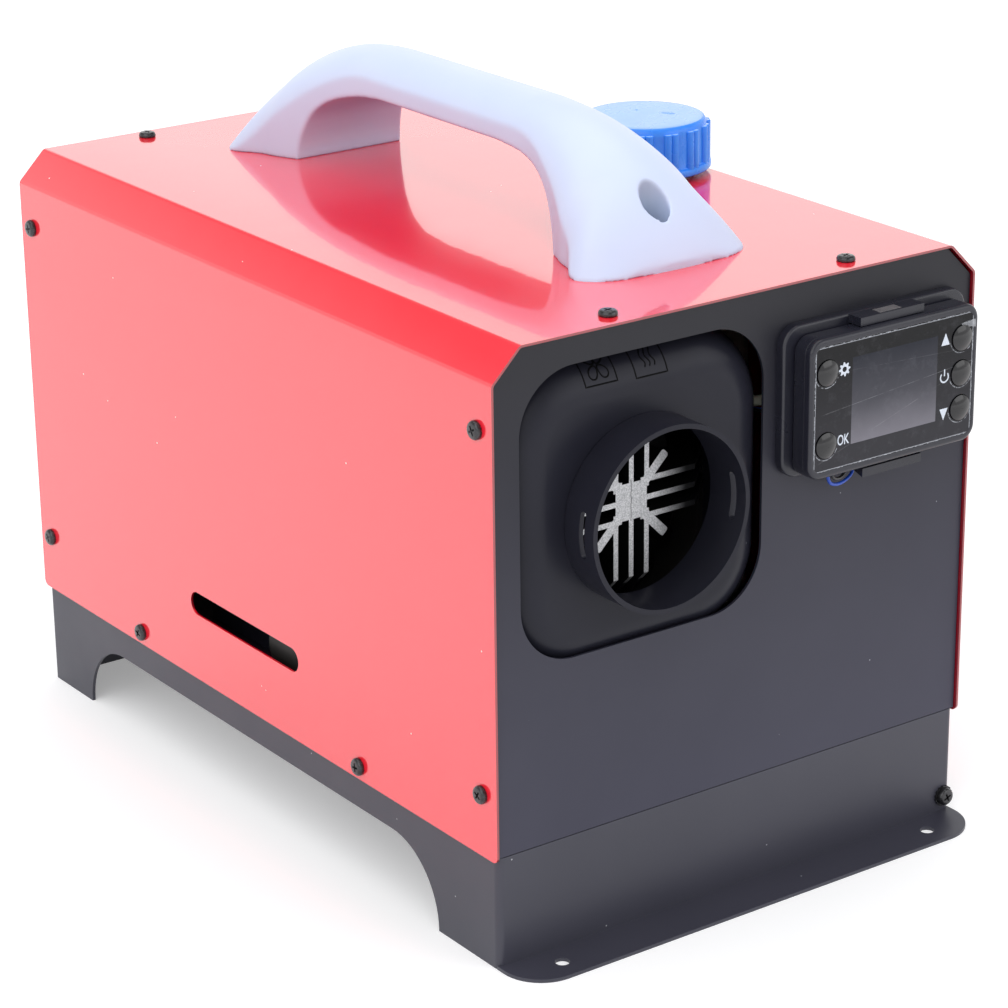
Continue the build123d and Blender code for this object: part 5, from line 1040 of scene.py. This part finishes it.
def makeHoodMarks(look):
    bm = bmesh.new()

    def draw(points, at, width, closed=True):
        for v in addMesh(bm, curveMesh("stroke", points, width, 2, closed=closed)):
            x, z = at[0] * mm + v.co.x * mm, at[1] * mm + v.co.y * mm
            hit = hoodTree.ray_cast(Vector((x, look["from"], z)), Vector((0, 1, 0)))[0]
            v.co = Vector((x, (hit.y if hit else look["offHood"]) - v.co.z * mm, z))

    w, h = look["size"][0] / 2, look["size"][1] / 2
    corners = [(-w, -h), (w, -h), (w, h), (-w, h)]
    square = []
    for (ax, ay), (bx, by) in zip(corners, corners[1:] + corners[:1]):
        square += [(ax + (bx - ax) * k / 14, ay + (by - ay) * k / 14, 0) for k in range(14)]
    for at in (look["fan"], look["heat"]):
        draw(square, at, look["line"])
    for blade in range(look["blades"]):
        turn = Matrix.Rotation(math.radians(45 + 360 * blade / look["blades"]), 4, "Z")
        outline = []
        for a in [2 * math.pi * k / 26 for k in range(26)]:
            wide = look["bladeWide"] * (1 + look["bladeSwell"] * math.cos(a))
            outline.append(turn @ Vector((look["bladeReach"] + look["bladeLong"] * math.cos(a),
                                          wide * math.sin(a), 0)))
        draw(outline, look["fan"], look["line"])
    for column in look["waves"]:
        swings = [look["waveSwing"] * math.sin(k / 24 * look["waveTurns"] * math.pi) for k in range(25)]
        wave = [(column + swing, look["waveHalf"] * (k / 12 - 1), 0) for k, swing in enumerate(swings)]
        draw(wave, look["heat"], look["line"] * look["waveThin"], False)
    outward(bm)
    finishPiece(bm, "hoodMarks", "icon_black", "case")


makeHoodMarks(hoodMarksLook)
print("marks made")


# camera, stage and light
cameraLook = {
    "place": (-0.76899, -1.09577, 0.61712), "toward": (0.54303821, 0.7624223, -0.35188314),
    "up": (0.21409389, 0.27949373, 0.93597386), "lens": 117.5476, "sensor": 36, "reach": 50,
}


def makeCamera(look):
    data = bpy.data.cameras.new("photoCamera")
    data.lens = look["lens"]
    data.sensor_width = look["sensor"]
    data.clip_end = look["reach"]
    camera = linked("photoCamera", data)
    forward, up = Vector(look["toward"]).normalized(), Vector(look["up"]).normalized()
    right = forward.cross(up).normalized()
    turn = Matrix((right, right.cross(forward), -forward)).transposed().to_4x4()
    camera.matrix_world = Matrix.Translation(look["place"]) @ turn
    bpy.context.scene.camera = camera


makeCamera(cameraLook)

floorLook = {
    "size": 30.0, "tone": (0.80, 0.80, 0.81), "roughness": 0.9, "specular": 0.1,
    "glow": 0.30, "farGlow": 0.75, "fadeFrom": 0.9, "fadeTo": 2.6,
}


# a pale floor that glows a little where the camera sees it, more so far out, and lights nothing
def makeFloor(look):
    bm = bmesh.new()
    bmesh.ops.create_grid(bm, x_segments=1, y_segments=1, size=look["size"] / 2)
    mesh = toMesh(bm, "studioFloor")
    floor = linked("studioFloor", mesh)
    material, tree, shader = newMaterial("paleFloor")
    setInputs(shader, {"Base Color": (*look["tone"], 1), "Roughness": look["roughness"],
                       "Specular IOR Level": look["specular"]})
    rays = addNode(tree, "ShaderNodeLightPath").outputs
    mirrored = calc(tree, "MAXIMUM", rays["Is Glossy Ray"], rays["Is Transmission Ray"])
    seen = calc(tree, "MAXIMUM", rays["Is Camera Ray"], mirrored)
    glow = addNode(tree, "ShaderNodeEmission", {"Color": (1, 1, 1, 1)})
    away = addNode(tree, "ShaderNodeVectorMath", operation="LENGTH")
    tree.links.new(objectPlace(tree), away.inputs[0])
    level = spread(tree, away.outputs["Value"], look["glow"], look["farGlow"], look["fadeFrom"],
                   look["fadeTo"])
    tree.links.new(product(tree, seen, level), glow.inputs["Strength"])
    both = addNode(tree, "ShaderNodeAddShader")
    tree.links.new(shader.outputs[0], both.inputs[0])
    tree.links.new(glow.outputs[0], both.inputs[1])
    tree.links.new(both.outputs[0], tree.nodes["Material Output"].inputs["Surface"])
    mesh.materials.append(material)


makeFloor(floorLook)

worldLook = {"seen": 1.0, "diffuse": 0.74, "glossyLow": 1.0, "glossyHigh": 0.35, "glossyBand": (0.40, 0.55)}


# a white world: even for diffuse light, dimmer overhead in reflections
def makeWorld(look):
    world = bpy.data.worlds.new("softStudio")
    bpy.context.scene.world = world
    world.use_nodes = True
    tree = world.node_tree
    tree.nodes.clear()
    out = addNode(tree, "ShaderNodeOutputWorld")
    background = addNode(tree, "ShaderNodeBackground", {"Color": (1, 1, 1, 1)})
    rays = addNode(tree, "ShaderNodeLightPath").outputs
    direction = splitParts(tree, addNode(tree, "ShaderNodeTexCoord").outputs["Generated"])
    reflected = spread(tree, direction["Z"], look["glossyLow"], look["glossyHigh"], *look["glossyBand"])
    mirrored = calc(tree, "MAXIMUM", rays["Is Glossy Ray"], rays["Is Transmission Ray"])
    lit = addNode(tree, "ShaderNodeMix", {"A": look["diffuse"]}, data_type="FLOAT")
    tree.links.new(mirrored, lit.inputs["Factor"])
    tree.links.new(reflected, lit.inputs[3])
    level = addNode(tree, "ShaderNodeMix", {"B": look["seen"]}, data_type="FLOAT")
    tree.links.new(rays["Is Camera Ray"], level.inputs["Factor"])
    tree.links.new(lit.outputs[0], level.inputs[2])
    tree.links.new(level.outputs[0], background.inputs["Strength"])
    tree.links.new(background.outputs[0], out.inputs["Surface"])


makeWorld(worldLook)

lampLooks = {
    "keyLeft": {"place": (-1.75, -0.95, 1.95), "size": (2.7, 2.4), "watts": 27},
    "fillFront": {"place": (1.4, -2.3, 1.45), "size": (2.3, 1.8), "watts": 15},
    "topSoft": {"place": (0.1, 0.4, 2.4), "size": (2.4, 2.4), "watts": 20},
    "backCard": {"place": (1.55, 2.2, 1.0), "size": (3.2, 1.3), "watts": 3.4},
}
lampAim = (0, 0, 0.13)


def makeLamp(name, look):
    data = bpy.data.lights.new(name, "AREA")
    data.shape = "RECTANGLE"
    data.size, data.size_y = look["size"]
    data.energy = look["watts"]
    lamp = linked(name, data)
    lamp.location = look["place"]
    aim = Vector(lampAim) - Vector(look["place"])
    lamp.rotation_euler = aim.to_track_quat("-Z", "Y").to_euler()


for name, look in lampLooks.items():
    makeLamp(name, look)

bpy.context.scene.view_settings.view_transform = "Standard"
print("stage, lamps and camera set")
